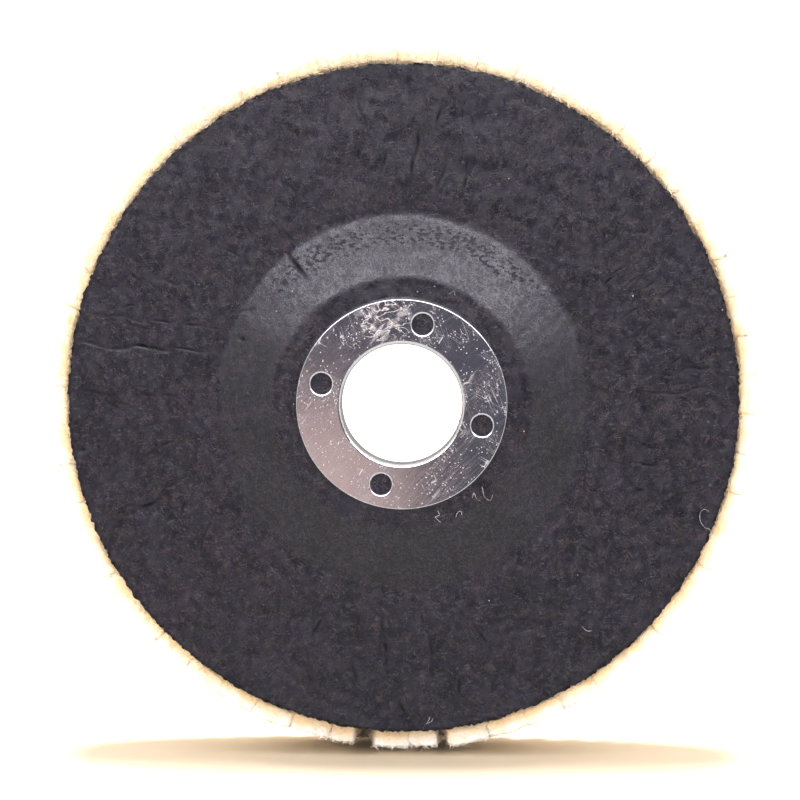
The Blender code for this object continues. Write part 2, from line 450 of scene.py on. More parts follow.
def run_tree(piece, tree, material, values):
    """Run a geometry tree on a piece and keep the plain mesh that it makes."""
    modifier = piece.modifiers.new(tree.name, "NODES")
    modifier.node_group = tree
    settings = dict(values, Material=material)
    for socket in tree.interface.items_tree:
        if socket.in_out == "INPUT" and socket.name in settings:
            modifier[socket.identifier] = settings[socket.name]
    graph = bpy.context.evaluated_depsgraph_get()
    mesh = bpy.data.meshes.new_from_object(piece.evaluated_get(graph), depsgraph=graph)
    mesh.name = piece.name
    piece.modifiers.clear()
    piece.data = mesh
    return piece


def hair_tree():
    """Short bent hairs, standing or lying, scattered on faces between two radii."""
    sizes = {
        "Density": 1.0e6, "Inner Radius": 0.0, "Full Radius": 0.001, "Outer Radius": 1.0,
        "Length": 1.0 * MM, "Thickness": 0.03, "Lean": 0.5, "Bend": 0.3, "Seed": 1,
    }
    tree, bench, given = new_tree("scattered_hair", sizes)
    place = bench.add("GeometryNodeInputPosition").outputs[0]
    radius = bench.from_axis(place)
    rise = bench.span(radius, given["Inner Radius"], given["Full Radius"])
    inside = bench.math("LESS_THAN", radius, given["Outer Radius"])
    pile = bench.add("GeometryNodeInputNamedAttribute", {"Name": "pile"}, data_type="FLOAT").outputs[0]
    density = bench.times(given["Density"], bench.times(rise, inside, pile))
    points = bench.add(
        "GeometryNodeDistributePointsOnFaces",
        {"Mesh": given["Geometry"], "Density": density, "Seed": given["Seed"]})
    line = bench.add("GeometryNodeCurvePrimitiveLine", {"Start": (0, 0, 0), "End": (0, 0, 1)}).outputs[0]
    hair = bench.add("GeometryNodeResampleCurve", {"Curve": line, "Count": 3}).outputs[0]
    along = bench.add("GeometryNodeSplineParameter").outputs["Factor"]
    bent = bench.times(bench.math("POWER", along, 2.0), given["Bend"])
    swing = bench.times(bench.math("SINE", bench.times(along, 5.0)), 0.12)
    hair = bench.pushed(hair, bench.xyz(bent, swing))
    girth = bench.add(
        "GeometryNodeCurvePrimitiveCircle", {"Resolution": 3, "Radius": given["Thickness"]}).outputs[0]
    taper = bench.span(along, 0.0, 1.0, 1.0, 0.45)
    solid = bench.add(
        "GeometryNodeCurveToMesh",
        {"Curve": hair, "Profile Curve": girth, "Scale": taper, "Fill Caps": True}).outputs[0]
    spin = bench.random(0.0, 2 * math.pi, given["Seed"])
    tilt = bench.times(bench.random(0.55, 1.3, bench.plus(given["Seed"], 1.0)), given["Lean"])
    turn = bench.add("FunctionNodeEulerToRotation", {0: bench.xyz(y=tilt, z=spin)}).outputs[0]
    rotation = bench.add(
        "FunctionNodeRotateRotation",
        {"Rotation": points.outputs["Rotation"], "Rotate By": turn}, rotation_space="LOCAL").outputs[0]
    size = bench.times(bench.random(0.45, 1.35, bench.plus(given["Seed"], 2.0)), given["Length"])
    placed = bench.add(
        "GeometryNodeInstanceOnPoints",
        {"Points": points.outputs["Points"], "Instance": solid, "Rotation": rotation, "Scale": size})
    close_tree(bench, placed.outputs[0], given["Material"])
    return tree


def flap_ring_tree():
    """One flap set round the spin axis, each a little off the even pitch and up to 1 per cent smaller.

    At two headings the pile past the plate's rim is parted, down to the flap below.
    """
    sizes = {
        "Count": 54, "Phase": 0.0, "Unevenness": 0.07, "Gap A": 0.0, "Gap A Width": 1.9 * MM, "Gap B": 0.5,
        "Gap B Width": 1.0 * MM, "Gap Depth": 0.8 * MM, "Lumps": 1.15 * MM, "Lump Scale": 760.0, "Seed": 4,
    }
    tree, bench, given = new_tree("flap_ring", sizes)
    points = bench.add("GeometryNodePoints", {"Count": given["Count"]}).outputs[0]
    index = bench.add("GeometryNodeInputIndex").outputs[0]
    pitch = bench.over(-2 * math.pi, given["Count"])
    stray = bench.times(bench.random(-0.5, 0.5, given["Seed"]), given["Unevenness"])
    angle = bench.times(bench.plus(index, stray, given["Phase"]), pitch)
    turn = bench.add("FunctionNodeAxisAngleToRotation", {"Axis": (0, 1, 0), "Angle": angle}).outputs[0]
    size = bench.random(0.990, 1.0, bench.plus(given["Seed"], 1.0))
    ring = bench.add(
        "GeometryNodeInstanceOnPoints",
        {"Points": points, "Instance": given["Geometry"], "Rotation": turn,
         "Scale": bench.xyz(size, 1.0, size)}).outputs[0]
    real = bench.add("GeometryNodeRealizeInstances", {"Geometry": ring}).outputs[0]
    place = bench.add("GeometryNodeInputPosition").outputs[0]
    coarse = bench.noise(place, given["Lump Scale"], 3.0, 0.6)
    push = bench.times(bench.minus(coarse, 0.5), given["Lumps"])
    normal = bench.add("GeometryNodeInputNormal").outputs[0]
    lumpy = bench.pushed(real, bench.scaled(normal, push))
    shares = [bench.over(bench.from_heading(place, given[gap]), given[gap + " Width"]) for gap in GAPS]
    opened = bench.most(*[bench.span(share, 0.40, 0.70, 1.0, 0.0) for share in shares])
    past_plate = bench.span(bench.from_axis(place), 44.6 * MM, 45.1 * MM)
    grinder_side = bench.span(bench.parts(place)[1], 10.4 * MM, 9.2 * MM)
    opened = bench.times(opened, past_plate, grinder_side)
    sunk = bench.xyz(y=bench.times(opened, given["Gap Depth"]))
    drawn_in = 0.052
    inward = bench.scaled(bench.vector("MULTIPLY", place, (-drawn_in, 0.0, -drawn_in)), opened)
    parted = bench.pushed(lumpy, bench.vector("ADD", sunk, inward))
    close_tree(bench, parted, given["Material"])
    return tree


def woven_tree():
    """Two families of flat yarns laid over and under each other on the plate's dished face."""
    sizes = {
        "Pitch": 3.2 * MM, "Yarn Width": 1.1 * MM, "Yarn Height": 0.16 * MM, "Depth": 3.4 * MM,
        "Rise": 3.0 * MM, "Hub": 16.6 * MM, "Crease": 24.6 * MM, "Hole": 8.9 * MM, "Rim": 44.3 * MM,
    }
    tree, bench, given = new_tree("woven_glass", sizes)
    full_width = 0.0886
    count = bench.plus(bench.math("FLOOR", bench.over(full_width, given["Pitch"])), 1.0)
    reach = bench.times(bench.minus(count, 1.0), -0.5, given["Pitch"])
    columns = bench.add(
        "GeometryNodeMeshLine",
        {"Count": count, "Start Location": bench.xyz(reach), "Offset": bench.xyz(given["Pitch"])}).outputs[0]
    points, point_step = 111, 0.8 * MM
    strand = bench.add(
        "GeometryNodeMeshLine",
        {"Count": points, "Start Location": (0, 0, -44 * MM), "Offset": (0, 0, point_step)}).outputs[0]
    both = []
    for side in (0, 1):
        laid = bench.add("GeometryNodeInstanceOnPoints", {"Points": columns, "Instance": strand}).outputs[0]
        laid = bench.add("GeometryNodeRealizeInstances", {"Geometry": laid}).outputs[0]
        place = bench.add("GeometryNodeInputPosition").outputs[0]
        parts = bench.parts(place)
        row = bench.math("ROUND", bench.over(parts[0], given["Pitch"]))
        run = bench.over(parts[2], given["Pitch"])
        phase = bench.times(bench.plus(row, run, float(side)), math.pi)
        weave = bench.times(bench.math("COSINE", phase), bench.times(given["Yarn Height"], 0.45))
        radius = bench.vector("LENGTH", place, out="Value")
        dish = bench.span(radius, given["Hub"], given["Crease"], 0.0, 1.0, smooth=False)
        depth = bench.plus(bench.times(dish, given["Rise"]), given["Depth"], weave)
        wander = bench.minus(bench.noise(place, 160.0, 1.0), 0.5)
        across = bench.plus(parts[0], bench.times(wander, 0.5 * MM))
        moved = bench.xyz(parts[2], depth, across) if side else bench.xyz(across, depth, parts[2])
        laid = bench.add("GeometryNodeSetPosition", {"Geometry": laid, "Position": moved}).outputs[0]
        outside = bench.math("GREATER_THAN", radius, given["Rim"])
        inside = bench.math("LESS_THAN", radius, given["Hole"])
        gone = {"Geometry": laid, "Selection": bench.most(outside, inside)}
        both.append(bench.add("GeometryNodeDeleteGeometry", gone).outputs[0])
    joined = bench.add("GeometryNodeJoinGeometry")
    for part in both:
        bench.tree.links.new(part, joined.inputs[0])
    curves = bench.add("GeometryNodeMeshToCurve", {"Mesh": joined.outputs[0]}).outputs[0]
    round_yarn = bench.add("GeometryNodeCurvePrimitiveCircle", {"Resolution": 8, "Radius": 0.5}).outputs[0]
    flat = bench.xyz(given["Yarn Width"], given["Yarn Height"], 1.0)
    yarn = bench.add("GeometryNodeTransform", {"Geometry": round_yarn, "Scale": flat}).outputs[0]
    solid = bench.add(
        "GeometryNodeCurveToMesh", {"Curve": curves, "Profile Curve": yarn, "Fill Caps": True}).outputs[0]
    close_tree(bench, solid, given["Material"])
    return tree


# ---------------------------------------------------------------- the dished plate

# The deep layers of the plate keep at least this fillet at the hub.
SHARPEST_FILLET = 0.3 * MM
# How much of a wrinkle's depth and of its lip's height the facing keeps after pressing.
GROOVE_KEPT = 0.55
LIP_KEPT = 0.13
# Depth at which the facing lies flat under the arbor ring.
RING_SEAT = 0.44 * MM


def fillet(corner, start, end, radius, steps=12):
    """Points of the arc that joins two lines at a corner, their angles measured from the radial direction."""
    turn = end - start
    reach = radius * math.tan(abs(turn) / 2)
    side = math.copysign(1, turn)
    tangent = (corner[0] - reach * math.cos(start), corner[1] - reach * math.sin(start))
    centre = (tangent[0] - side * radius * math.sin(start), tangent[1] + side * radius * math.cos(start))
    headings = [start + turn * i / steps for i in range(steps + 1)]
    return [(centre[0] + side * radius * math.sin(h), centre[1] - side * radius * math.cos(h))
            for h in headings]


def dish_depth(radius, below, sizes):
    """Depth of a layer of the plate that lies at a distance below the cloth's back face."""
    cone = math.atan2(HUB_RISE, sizes.crease_radius - sizes.hub_radius)
    shift = below * math.tan(cone / 2)
    hub = CLOTH_LOW.y + below
    hub_round = max(sizes.hub_round - below, SHARPEST_FILLET)
    shoulder = fillet((sizes.hub_radius - shift, hub), 0, cone, hub_round)
    crease = fillet((sizes.crease_radius - shift, hub + HUB_RISE), cone, 0, sizes.crease_round + below)
    line = np.array([(0.0, hub)] + shoulder + crease + [(WHEEL_RADIUS, hub + HUB_RISE)])
    return np.interp(radius, line[:, 0], line[:, 1])


def crease_relief(x, z, start, end, width, depth, lip, waver, seed):
    """A pressed wrinkle between two places: a groove with a raised lip beside it, and how strongly painted
    shade darkens its groove.
    """
    start, end = np.array(start) * MM, np.array(end) * MM
    run = end - start
    length = np.hypot(*run)
    unit = run / length
    along = ((x - start[0]) * unit[0] + (z - start[1]) * unit[1]) / length
    off = (x - start[0]) * unit[1] - (z - start[1]) * unit[0]
    off = off - waver * MM * ripple_field(along * length, np.zeros_like(x), 5 * MM, seed, 8)
    envelope = np.clip(np.sin(np.pi * np.clip(along, 0, 1)), 0, 1) ** 0.6
    envelope = envelope * (0.75 + 0.35 * ripple_field(along * length, np.zeros_like(x), 3 * MM, seed + 50, 8))
    width = width * MM
    groove = np.exp(-(off / width) ** 2)
    ridge = np.exp(-((off - 1.6 * width) / (0.9 * width)) ** 2)
    return envelope * (GROOVE_KEPT * depth * groove - LIP_KEPT * lip * ridge) * MM, envelope * groove


# Wrinkles in the facing: start and end in millimetres, width, depth, lip height, waver.
WRINKLES = (
    ((-43.3, 8.1), (-36.6, 6.9), 0.26, 0.34, 0.34, 0.25),
    ((-38.4, 7.2), (-31.0, 6.9), 0.24, 0.26, 0.26, 0.35),
    ((-32.0, 7.1), (-25.2, 6.9), 0.22, 0.18, 0.24, 0.30),
    ((-42.8, 12.0), (-33.2, 10.7), 0.20, 0.14, 0.10, 0.20),
    ((-35.0, 10.9), (-23.6, 9.8), 0.20, 0.14, 0.14, 0.25),
    ((-44.0, 1.5), (-37.4, 0.9), 0.24, 0.06, 0.16, 0.25),
    ((-35.6, 1.1), (-29.6, 0.7), 0.22, 0.06, 0.18, 0.25),
    ((-23.4, 12.0), (-19.2, 12.7), 0.20, 0.08, 0.16, 0.20),
    ((-16.2, 20.6), (-12.2, 16.0), 0.24, 0.30, 0.12, 0.20),
    ((-17.2, 24.8), (-14.0, 20.9), 0.20, 0.06, 0.20, 0.20),
    ((0.6, 28.0), (2.6, 37.6), 0.26, 0.16, 0.08, 0.35),
    ((4.2, 27.4), (6.6, 35.2), 0.24, 0.12, 0.08, 0.30),
    ((8.0, 28.2), (8.8, 33.0), 0.22, 0.10, 0.06, 0.20),
    ((-3.4, 29.0), (-2.0, 34.0), 0.22, 0.10, 0.06, 0.20),
    ((31.0, 3.2), (44.0, 5.6), 0.26, 0.12, 0.16, 0.30),
    ((33.0, 1.0), (42.0, 2.4), 0.24, 0.10, 0.10, 0.25),
    ((28.0, -4.0), (36.0, -6.4), 0.24, 0.10, 0.12, 0.40),
    ((30.0, -7.6), (38.0, -8.8), 0.22, 0.08, 0.10, 0.40),
    ((-3.0, -28.0), (-2.0, -37.0), 0.26, 0.12, 0.08, 0.30),
    ((3.6, -29.0), (4.2, -38.0), 0.24, 0.10, 0.06, 0.30),
    ((-30.0, -12.0), (-38.0, -15.0), 0.26, 0.08, 0.06, 0.30),
)


def seeded_wrinkles(count=170, seed=9):
    """Many faint wrinkles that run roughly outward, crowded at the left, right and top of the plate."""
    rng = np.random.default_rng(seed)
    crowded = np.array([0.0, 180.0, 92.0, 268.0])
    found = []
    for number in range(count):
        middle = rng.choice(crowded, p=(0.34, 0.28, 0.22, 0.16))
        angle = math.radians(middle + rng.normal(0, 22)) if number % 4 else rng.uniform(0, 2 * math.pi)
        radius = rng.uniform(26.5, 40.0)
        length = rng.uniform(1.2, 4.6)
        swing = math.radians(rng.normal(0, 20))
        start = (radius * math.cos(angle), radius * math.sin(angle))
        end = (start[0] + length * math.cos(angle + swing), start[1] + length * math.sin(angle + swing))
        depth = rng.uniform(0.03, 0.12)
        found.append((start, end, rng.uniform(0.13, 0.20), depth, 0.9 * depth, rng.uniform(0.2, 0.6)))
    return tuple(found)


# Small dents in the facing: place in millimetres, radius, depth.
DENTS = (
    ((-21.3, 8.4), 0.34, 0.22),
    ((-20.6, 18.4), 0.30, 0.12),
    ((-43.1, -6.6), 0.38, 0.16),
    ((-22.6, -6.9), 0.26, 0.16),
    ((-22.3, -7.6), 0.22, 0.14),
    ((-22.2, -3.7), 0.20, 0.10),
    ((13.6, -37.2), 0.26, 0.12),
    ((-8.4, -36.4), 0.24, 0.12),
)


def facing_relief(x, z, radius):
    """How far the facing lies from its smooth dish, and how strongly painted shade darkens each place:
    grooves, dents and the torn rim.
    """
    relief = np.zeros_like(x)
    for height, length, seed in ((0.035, 9, 11), (0.012, 2.6, 12), (0.010, 1.3, 13)):
        relief += height * MM * ripple_field(x, z, length * MM, seed)
    crease_shade_mask = np.zeros_like(x)
    for number, (start, end, width, depth, lip, waver) in enumerate(WRINKLES + seeded_wrinkles()):
        push, groove_shade = crease_relief(x, z, start, end, width, depth, lip, waver, 100 + number)
        relief += push
        crease_shade_mask = np.maximum(crease_shade_mask, groove_shade)
    for (across, up), size, depth in DENTS:
        dent = np.exp(-((x - across * MM) ** 2 + (z - up * MM) ** 2) / (size * MM) ** 2)
        relief += depth * MM * dent
        crease_shade_mask = np.maximum(crease_shade_mask, dent)
    # The torn cut rim is darkened and dulled in the same mask as the wrinkles.
    torn = 0.5 + 0.5 * ripple_field(x, z, 1.1 * MM, 24)
    torn = smooth_step(radius, CLOTH_HIGH.x - 0.62 * MM, CLOTH_HIGH.x - 0.22 * MM) * torn
    crease_shade_mask = np.clip(np.maximum(crease_shade_mask, torn), 0, 1)
    # A shallow pressed groove just outside the cone's foot.
    relief += 0.10 * MM * np.exp(-((radius - 25.6 * MM) / (0.9 * MM)) ** 2)
    return relief, crease_shade_mask


def make_facing_mesh(sizes):
    """The black facing: a thin closed sheet, finely divided on its back, with a ragged rim."""
    columns = 1080
    radii = np.concatenate([
        np.linspace(sizes.hole, 13.4 * MM, 4, endpoint=False),
        np.linspace(13.4 * MM, 16.0 * MM, 8, endpoint=False),
        np.linspace(16.0 * MM, 44.4 * MM, 62, endpoint=False),
        np.linspace(44.4 * MM, CLOTH_HIGH.x, 4),
    ])
    angles = np.linspace(0, 2 * math.pi, columns, endpoint=False)
    radius, angle = np.meshgrid(radii, angles, indexing="ij")
    x, _, z = polar(radius, angle, 0)
    rag = np.zeros_like(x)
    for depth, length, seed in ((0.10, 5, 21), (0.09, 1.4, 22), (0.10, 0.6, 23)):
        rag += depth * MM * ripple_field(x, z, length * MM, seed)
    rag = np.clip(rag, -0.4 * MM, 0.22 * MM) - 0.05 * MM
    radius = radius + rag * smooth_step(radius, 43.6 * MM, CLOTH_HIGH.x)
    x, _, z = polar(radius, angle, 0)
    relief, crease_shade_mask = facing_relief(x, z, radius)
    # The cloth lies flat under the ring, and stands up a little towards the grinder round the ring's rim.
    ring = RING_HIGH.x
    beside = 1 - smooth_step(radius, ring - 0.2 * MM, ring + 2.4 * MM)
    clear = smooth_step(radius, ring - 0.5 * MM, ring + 0.1 * MM)
    swell = -0.10 * MM * beside * clear
    back = dish_depth(radius, 0.0, sizes) + relief * clear
    back = np.where(radius < ring - 0.1 * MM, RING_SEAT, back + swell)
    # Its cut rim turns a little towards the felt.
    back = back + 0.08 * MM * smooth_step(radius, CLOTH_HIGH.x - 0.3 * MM, CLOTH_HIGH.x + 0.1 * MM) ** 2
    verts = points_at(radius, angle, back)
    faces = grid_faces(len(radii), columns)
    # The hidden front side follows the dish in a few wide rows, joined to the back at hole and rim.
    rows = np.array([0, 12, 22, 32, 36, 60, len(radii) - 1])
    front_radius = radius[rows]
    front = dish_depth(front_radius, sizes.cloth, sizes) + 0.02 * MM
    front = np.maximum(front, back[rows] + 0.15 * MM)
    count = len(verts)
    verts = np.concatenate([verts, points_at(front_radius, angle[rows], front)])
    faces += [tuple(reversed(face)) for face in grid_faces(len(rows), columns, count)]
    outer_back = (len(radii) - 1) * columns
    outer_front = count + (len(rows) - 1) * columns
    for column in range(columns):
        after = (column + 1) % columns
        faces.append((outer_back + column, outer_back + after, outer_front + after, outer_front + column))
        faces.append((after, column, count + column, count + after))
    mesh = mesh_from("back_cloth_facing", verts, faces)
    hidden = np.zeros(front_radius.size)
    # The mask of painted shade in the grooves, dents and torn rim is kept on the sheet's back for the
    # material.
    store_attribute(mesh, "crease_shade_mask", np.concatenate([crease_shade_mask.ravel(), hidden]))
    store_attribute(mesh, "pile", np.concatenate([np.ones(radius.size), hidden]))
    face_outward(mesh)
    mesh.shade_smooth()
    return mesh


def facing_material(sizes):
    """Charcoal non-woven: mottled, with pressed pits near the cone's foot, pale fibres and wrinkles darkened
    by painted shade.
    """
    material, bench, shader, where, radius = new_material("black_nonwoven_facing")
    height = bench.over(bench.parts(where)[2], bench.most(radius, 1 * MM))
    patches = bench.noise(where, 230.0, 5.0, 0.65)
    grains = bench.noise(where, 2100.0, 3.0, 0.7)
    fine = bench.noise(where, 6200.0, 2.0, 0.6)
    tone = bench.span(bench.blend((patches, 0.22), (grains, 0.36), (fine, 0.42)), 0.44, 0.58)
    colour = bench.mix(tone, plain(sizes.cloth_dark), plain(sizes.cloth_light))
    runs = ((0.2, 5200.0, 420.0, 0.016), (1.25, 4700.0, 380.0, 0.016), (2.3, 5600.0, 460.0, 0.016))
    fibres = bench.line_web(where, runs, 1.0, (800.0, 90.0))
    rusty = bench.span(bench.noise(where, 900.0, 1.0), 0.42, 0.55)
    fibre_colour = bench.mix(rusty, (0.060, 0.054, 0.064, 1), (0.060, 0.030, 0.024, 1))
    colour = bench.mix(bench.times(fibres, 0.6), colour, fibre_colour)
    # Pits: pin holes in the pressed cloth, in a band near the cone's foot, most of them above the hub.
    band = bench.times(bench.span(radius, 18.5 * MM, 22.5 * MM), bench.span(radius, 24.8 * MM, 23.6 * MM))
    upper = bench.span(height, 0.30, 0.85)
    lower = bench.times(bench.span(height, -0.1, -0.7), 0.30)
    zone = bench.times(band, bench.most(upper, lower))
    holes = bench.noise(bench.turned(where, (0, -0.5, 0), (0.55, 1, 1)), 2300.0, 3.0, 0.62)
    sparse = bench.span(zone, 0.0, 1.0, 0.74, 0.515)
    pits = bench.times(bench.span(holes, sparse, bench.plus(sparse, 0.13)), bench.span(zone, 0.02, 0.15))
    colour = bench.mix(bench.times(pits, 0.55), colour, (0.005, 0.004, 0.004, 1))
    # Painted shade: the grooves of the wrinkles and the dents are darkened in the colour, and the torn rim
    # with them.
    crease_shade_mask = bench.add("ShaderNodeAttribute", attribute_name="crease_shade_mask").outputs["Fac"]
    colour = bench.mix(bench.times(crease_shade_mask, 0.85), colour, (0.0010, 0.0008, 0.0010, 1))
    # A white speck of grit here and there, in one cell out of five.
    specks = bench.cells(where, 420.0)
    tiny = bench.span(specks.outputs["Distance"], 0.03, 0.05, 1.0, 0.0)
    chosen = bench.add("ShaderNodeSeparateColor", {0: specks.outputs["Color"]}).outputs[0]
    tiny = bench.times(tiny, bench.math("GREATER_THAN", chosen, 0.80))
    colour = bench.mix(tiny, colour, (0.24, 0.22, 0.22, 1))
    bench.plug(shader.inputs["Base Color"], colour)
    # Grains glint, worn patches shine a little more, and wrinkles and pits are dull.
    glint = bench.span(bench.blend((grains, 0.35), (fine, 0.65)), 0.42, 0.57, 0.43, 0.20)
    worn = bench.span(bench.noise(where, 520.0, 4.0, 0.7), 0.36, 0.64, 0.09, -0.07)
    marked = bench.most(bench.times(pits, 0.45), crease_shade_mask)
    bench.plug(shader.inputs["Roughness"], bench.plus(glint, worn, bench.times(marked, 0.35)))
    bench.plug(shader.inputs["Specular IOR Level"], bench.span(marked, 0.0, 1.0, 0.50, 0.08, smooth=False))
    nubs = bench.blend((grains, 0.8), (pits, -1.2), (fine, 0.45), (fibres, 0.25))
    bench.plug(shader.inputs["Normal"], bench.bump(nubs, 0.036 * MM, 0.9))
    return material


def fibre_material(name, colour, roughness=0.6):
    """Loose fibre: its colour shifts a little from place to place."""
    material, bench, shader, where, _ = new_material(name, specular=0.3, Roughness=roughness)
    shade = bench.span(bench.noise(where, 500.0, 1.0), 0.4, 0.6)
    darker = tuple(0.45 * c for c in colour)
    bench.plug(shader.inputs["Base Color"], bench.mix(shade, plain(darker), plain(colour)))
    return material


def thread_mesh(name, paths, thickness):
    """Thin round threads through lists of points."""
    data = bpy.data.curves.new(name, "CURVE")
    data.dimensions = "3D"
    data.bevel_depth = thickness / 2
    data.bevel_resolution = 1
    data.use_fill_caps = True
    for points in paths:
        spline = data.splines.new("POLY")
        spline.points.add(len(points) - 1)
        for knot, point in zip(spline.points, points):
            knot.co = (*point, 1.0)
    carrier = new_object(name, data)
    graph = bpy.context.evaluated_depsgraph_get()
    mesh = bpy.data.meshes.new_from_object(carrier.evaluated_get(graph), depsgraph=graph)
    mesh.name = name
    bpy.data.objects.remove(carrier)
    face_outward(mesh, 1e-6)
    mesh.shade_smooth()
    return mesh


# Stray hairs on the facing: the bends of each, x and z in millimetres.
STRAY_HAIRS = (
    ((41.1, -14.6), (40.4, -14.3), (39.9, -14.9), (40.0, -16.0), (40.6, -16.8), (41.2, -17.0), (41.7, -17.6)),
    ((10.7, -11.0), (11.0, -12.3), (11.8, -12.8), (12.1, -12.1)),
    ((9.4, -12.5), (9.6, -11.8), (10.0, -12.6), (10.5, -12.9)),
    ((4.8, -14.2), (5.0, -14.8), (4.5, -15.1), (5.2, -15.8)),
    ((7.2, -15.1), (7.5, -14.4), (7.9, -14.3), (8.0, -14.8)),
    ((24.3, -30.4), (24.9, -30.9), (25.6, -30.9)),
    ((6.2, 14.6), (6.9, 15.0), (7.0, 14.5)),
    ((3.2, -43.9), (3.6, -43.3), (3.7, -42.9)),
    ((3.4, -43.8), (3.9, -43.5), (4.2, -43.1)),
)


def smooth_path(knots, steps=6):
    """Points on a Catmull-Rom curve through a few bends."""
    knots = np.array(knots)
    padded = np.concatenate([2 * knots[:1] - knots[1:2], knots, 2 * knots[-1:] - knots[-2:-1]])
    points = []
    for a, b, c, d in zip(padded, padded[1:], padded[2:], padded[3:]):
        for t in np.linspace(0, 1, steps, endpoint=False):
            points.append(0.5 * (2 * b + (c - a) * t + (2 * a - 5 * b + 4 * c - d) * t**2
                                 + (3 * b - a - 3 * c + d) * t**3))
    return points + [knots[-1]]


def stray_hair_paths(sizes):
    """Curls that lie on the facing, just clear of it."""
    paths = []
    for bends in STRAY_HAIRS:
        flat = smooth_path(bends)
        points = []
        for number, (x, z) in enumerate(flat):
            lift = 0.08 * MM + 0.12 * MM * math.sin(math.pi * number / len(flat))
            depth = float(dish_depth(math.hypot(x, z) * MM, 0.0, sizes)) - lift
            points.append((x * MM, depth, z * MM))
        paths.append(points)
    return paths


# ---------------------------------------------------------------- arbor ring

def ring_arc(centre, radius, start, end, steps):
    """Radii and depths along an arc of the ring's profile, from one angle in degrees to another."""
    angles = [math.radians(start + (end - start) * i / steps) for i in range(steps + 1)]
    return [(centre[0] + radius * math.cos(a), centre[1] + radius * math.sin(a)) for a in angles]


def make_ring_mesh(sizes):
    """The stamped ring: two flat faces with a rounded rim, a turned-down collar and rolled keying holes."""
    sheet, bore, bend = sizes.sheet, sizes.bore, sizes.bend
    rim = RING_HIGH.x
    edge, back_edge, collar_edge, lip = 0.13 * MM, 0.06 * MM, 0.1 * MM, 0.26 * MM
    shape = bmesh.new()

    def circle(centre, radius, depth, steps):
        angles = [2 * math.pi * i / steps for i in range(steps)]
        return [shape.verts.new((centre[0] + radius * math.cos(a), depth, centre[1] + radius * math.sin(a)))
                for a in angles]

    def join(first, second):
        for a, b, c, d in zip(first, first[1:] + first[:1], second[1:] + second[:1], second):
            shape.faces.new((a, b, c, d))

    def sweep(centre, profile, steps):
        rows = [circle(centre, radius, depth, steps) for radius, depth in profile]
        for first, second in zip(rows, rows[1:]):
            join(first, second)
        return rows[0], rows[-1]

    steps, hole_steps = 192, 48
    middle = (0.0, 0.0)
    rim_line = ring_arc((rim - edge, edge), edge, 270, 360, 6)
    rim_line += ring_arc((rim - back_edge, sheet - back_edge), back_edge, 0, 90, 3)
    collar = ring_arc((bore + bend, bend), bend, 270, 180, 10)
    collar += [(bore, RING_HIGH.y * share) for share in (0.5, 0.8)]
    collar += ring_arc((bore + collar_edge, RING_HIGH.y - collar_edge), collar_edge, 180, 90, 3)
    collar += ring_arc((bore + sheet - collar_edge, RING_HIGH.y - collar_edge), collar_edge, 90, 0, 3)
    collar += [(bore + sheet, RING_HIGH.y * share) for share in (0.8, 0.5)]
    collar += ring_arc((bore + bend, bend), bend - sheet, 180, 270, 6)
    loops = [sweep(middle, rim_line, steps), sweep(middle, collar, steps)]
    hole_line = ring_arc((sizes.key_hole + lip, lip), lip, 270, 180, 6) + [(sizes.key_hole, sheet)]
    for i in range(sizes.key_count):
        angle = sizes.key_angle + i * 2 * math.pi / sizes.key_count
        centre = (sizes.key_circle * math.cos(angle), sizes.key_circle * math.sin(angle))
        loops.append(sweep(centre, hole_line, hole_steps))
    # The last edges of the profiles bound the two flat faces.
    for side in (0, 1):
        edges = []
        for loop in loops:
            ring = loop[side]
            edges += [shape.edges.get(pair) for pair in zip(ring, ring[1:] + ring[:1])]
        bmesh.ops.triangle_fill(shape, use_beauty=True, edges=edges, use_dissolve=False)
        for rim_edge in edges:
            rim_edge.smooth = False
    bmesh.ops.recalc_face_normals(shape, faces=shape.faces)
    mesh = bpy.data.meshes.new("arbor_ring_stamped")
    shape.to_mesh(mesh)
    shape.free()
    for polygon in mesh.polygons:
        polygon.use_smooth = True
    return mesh


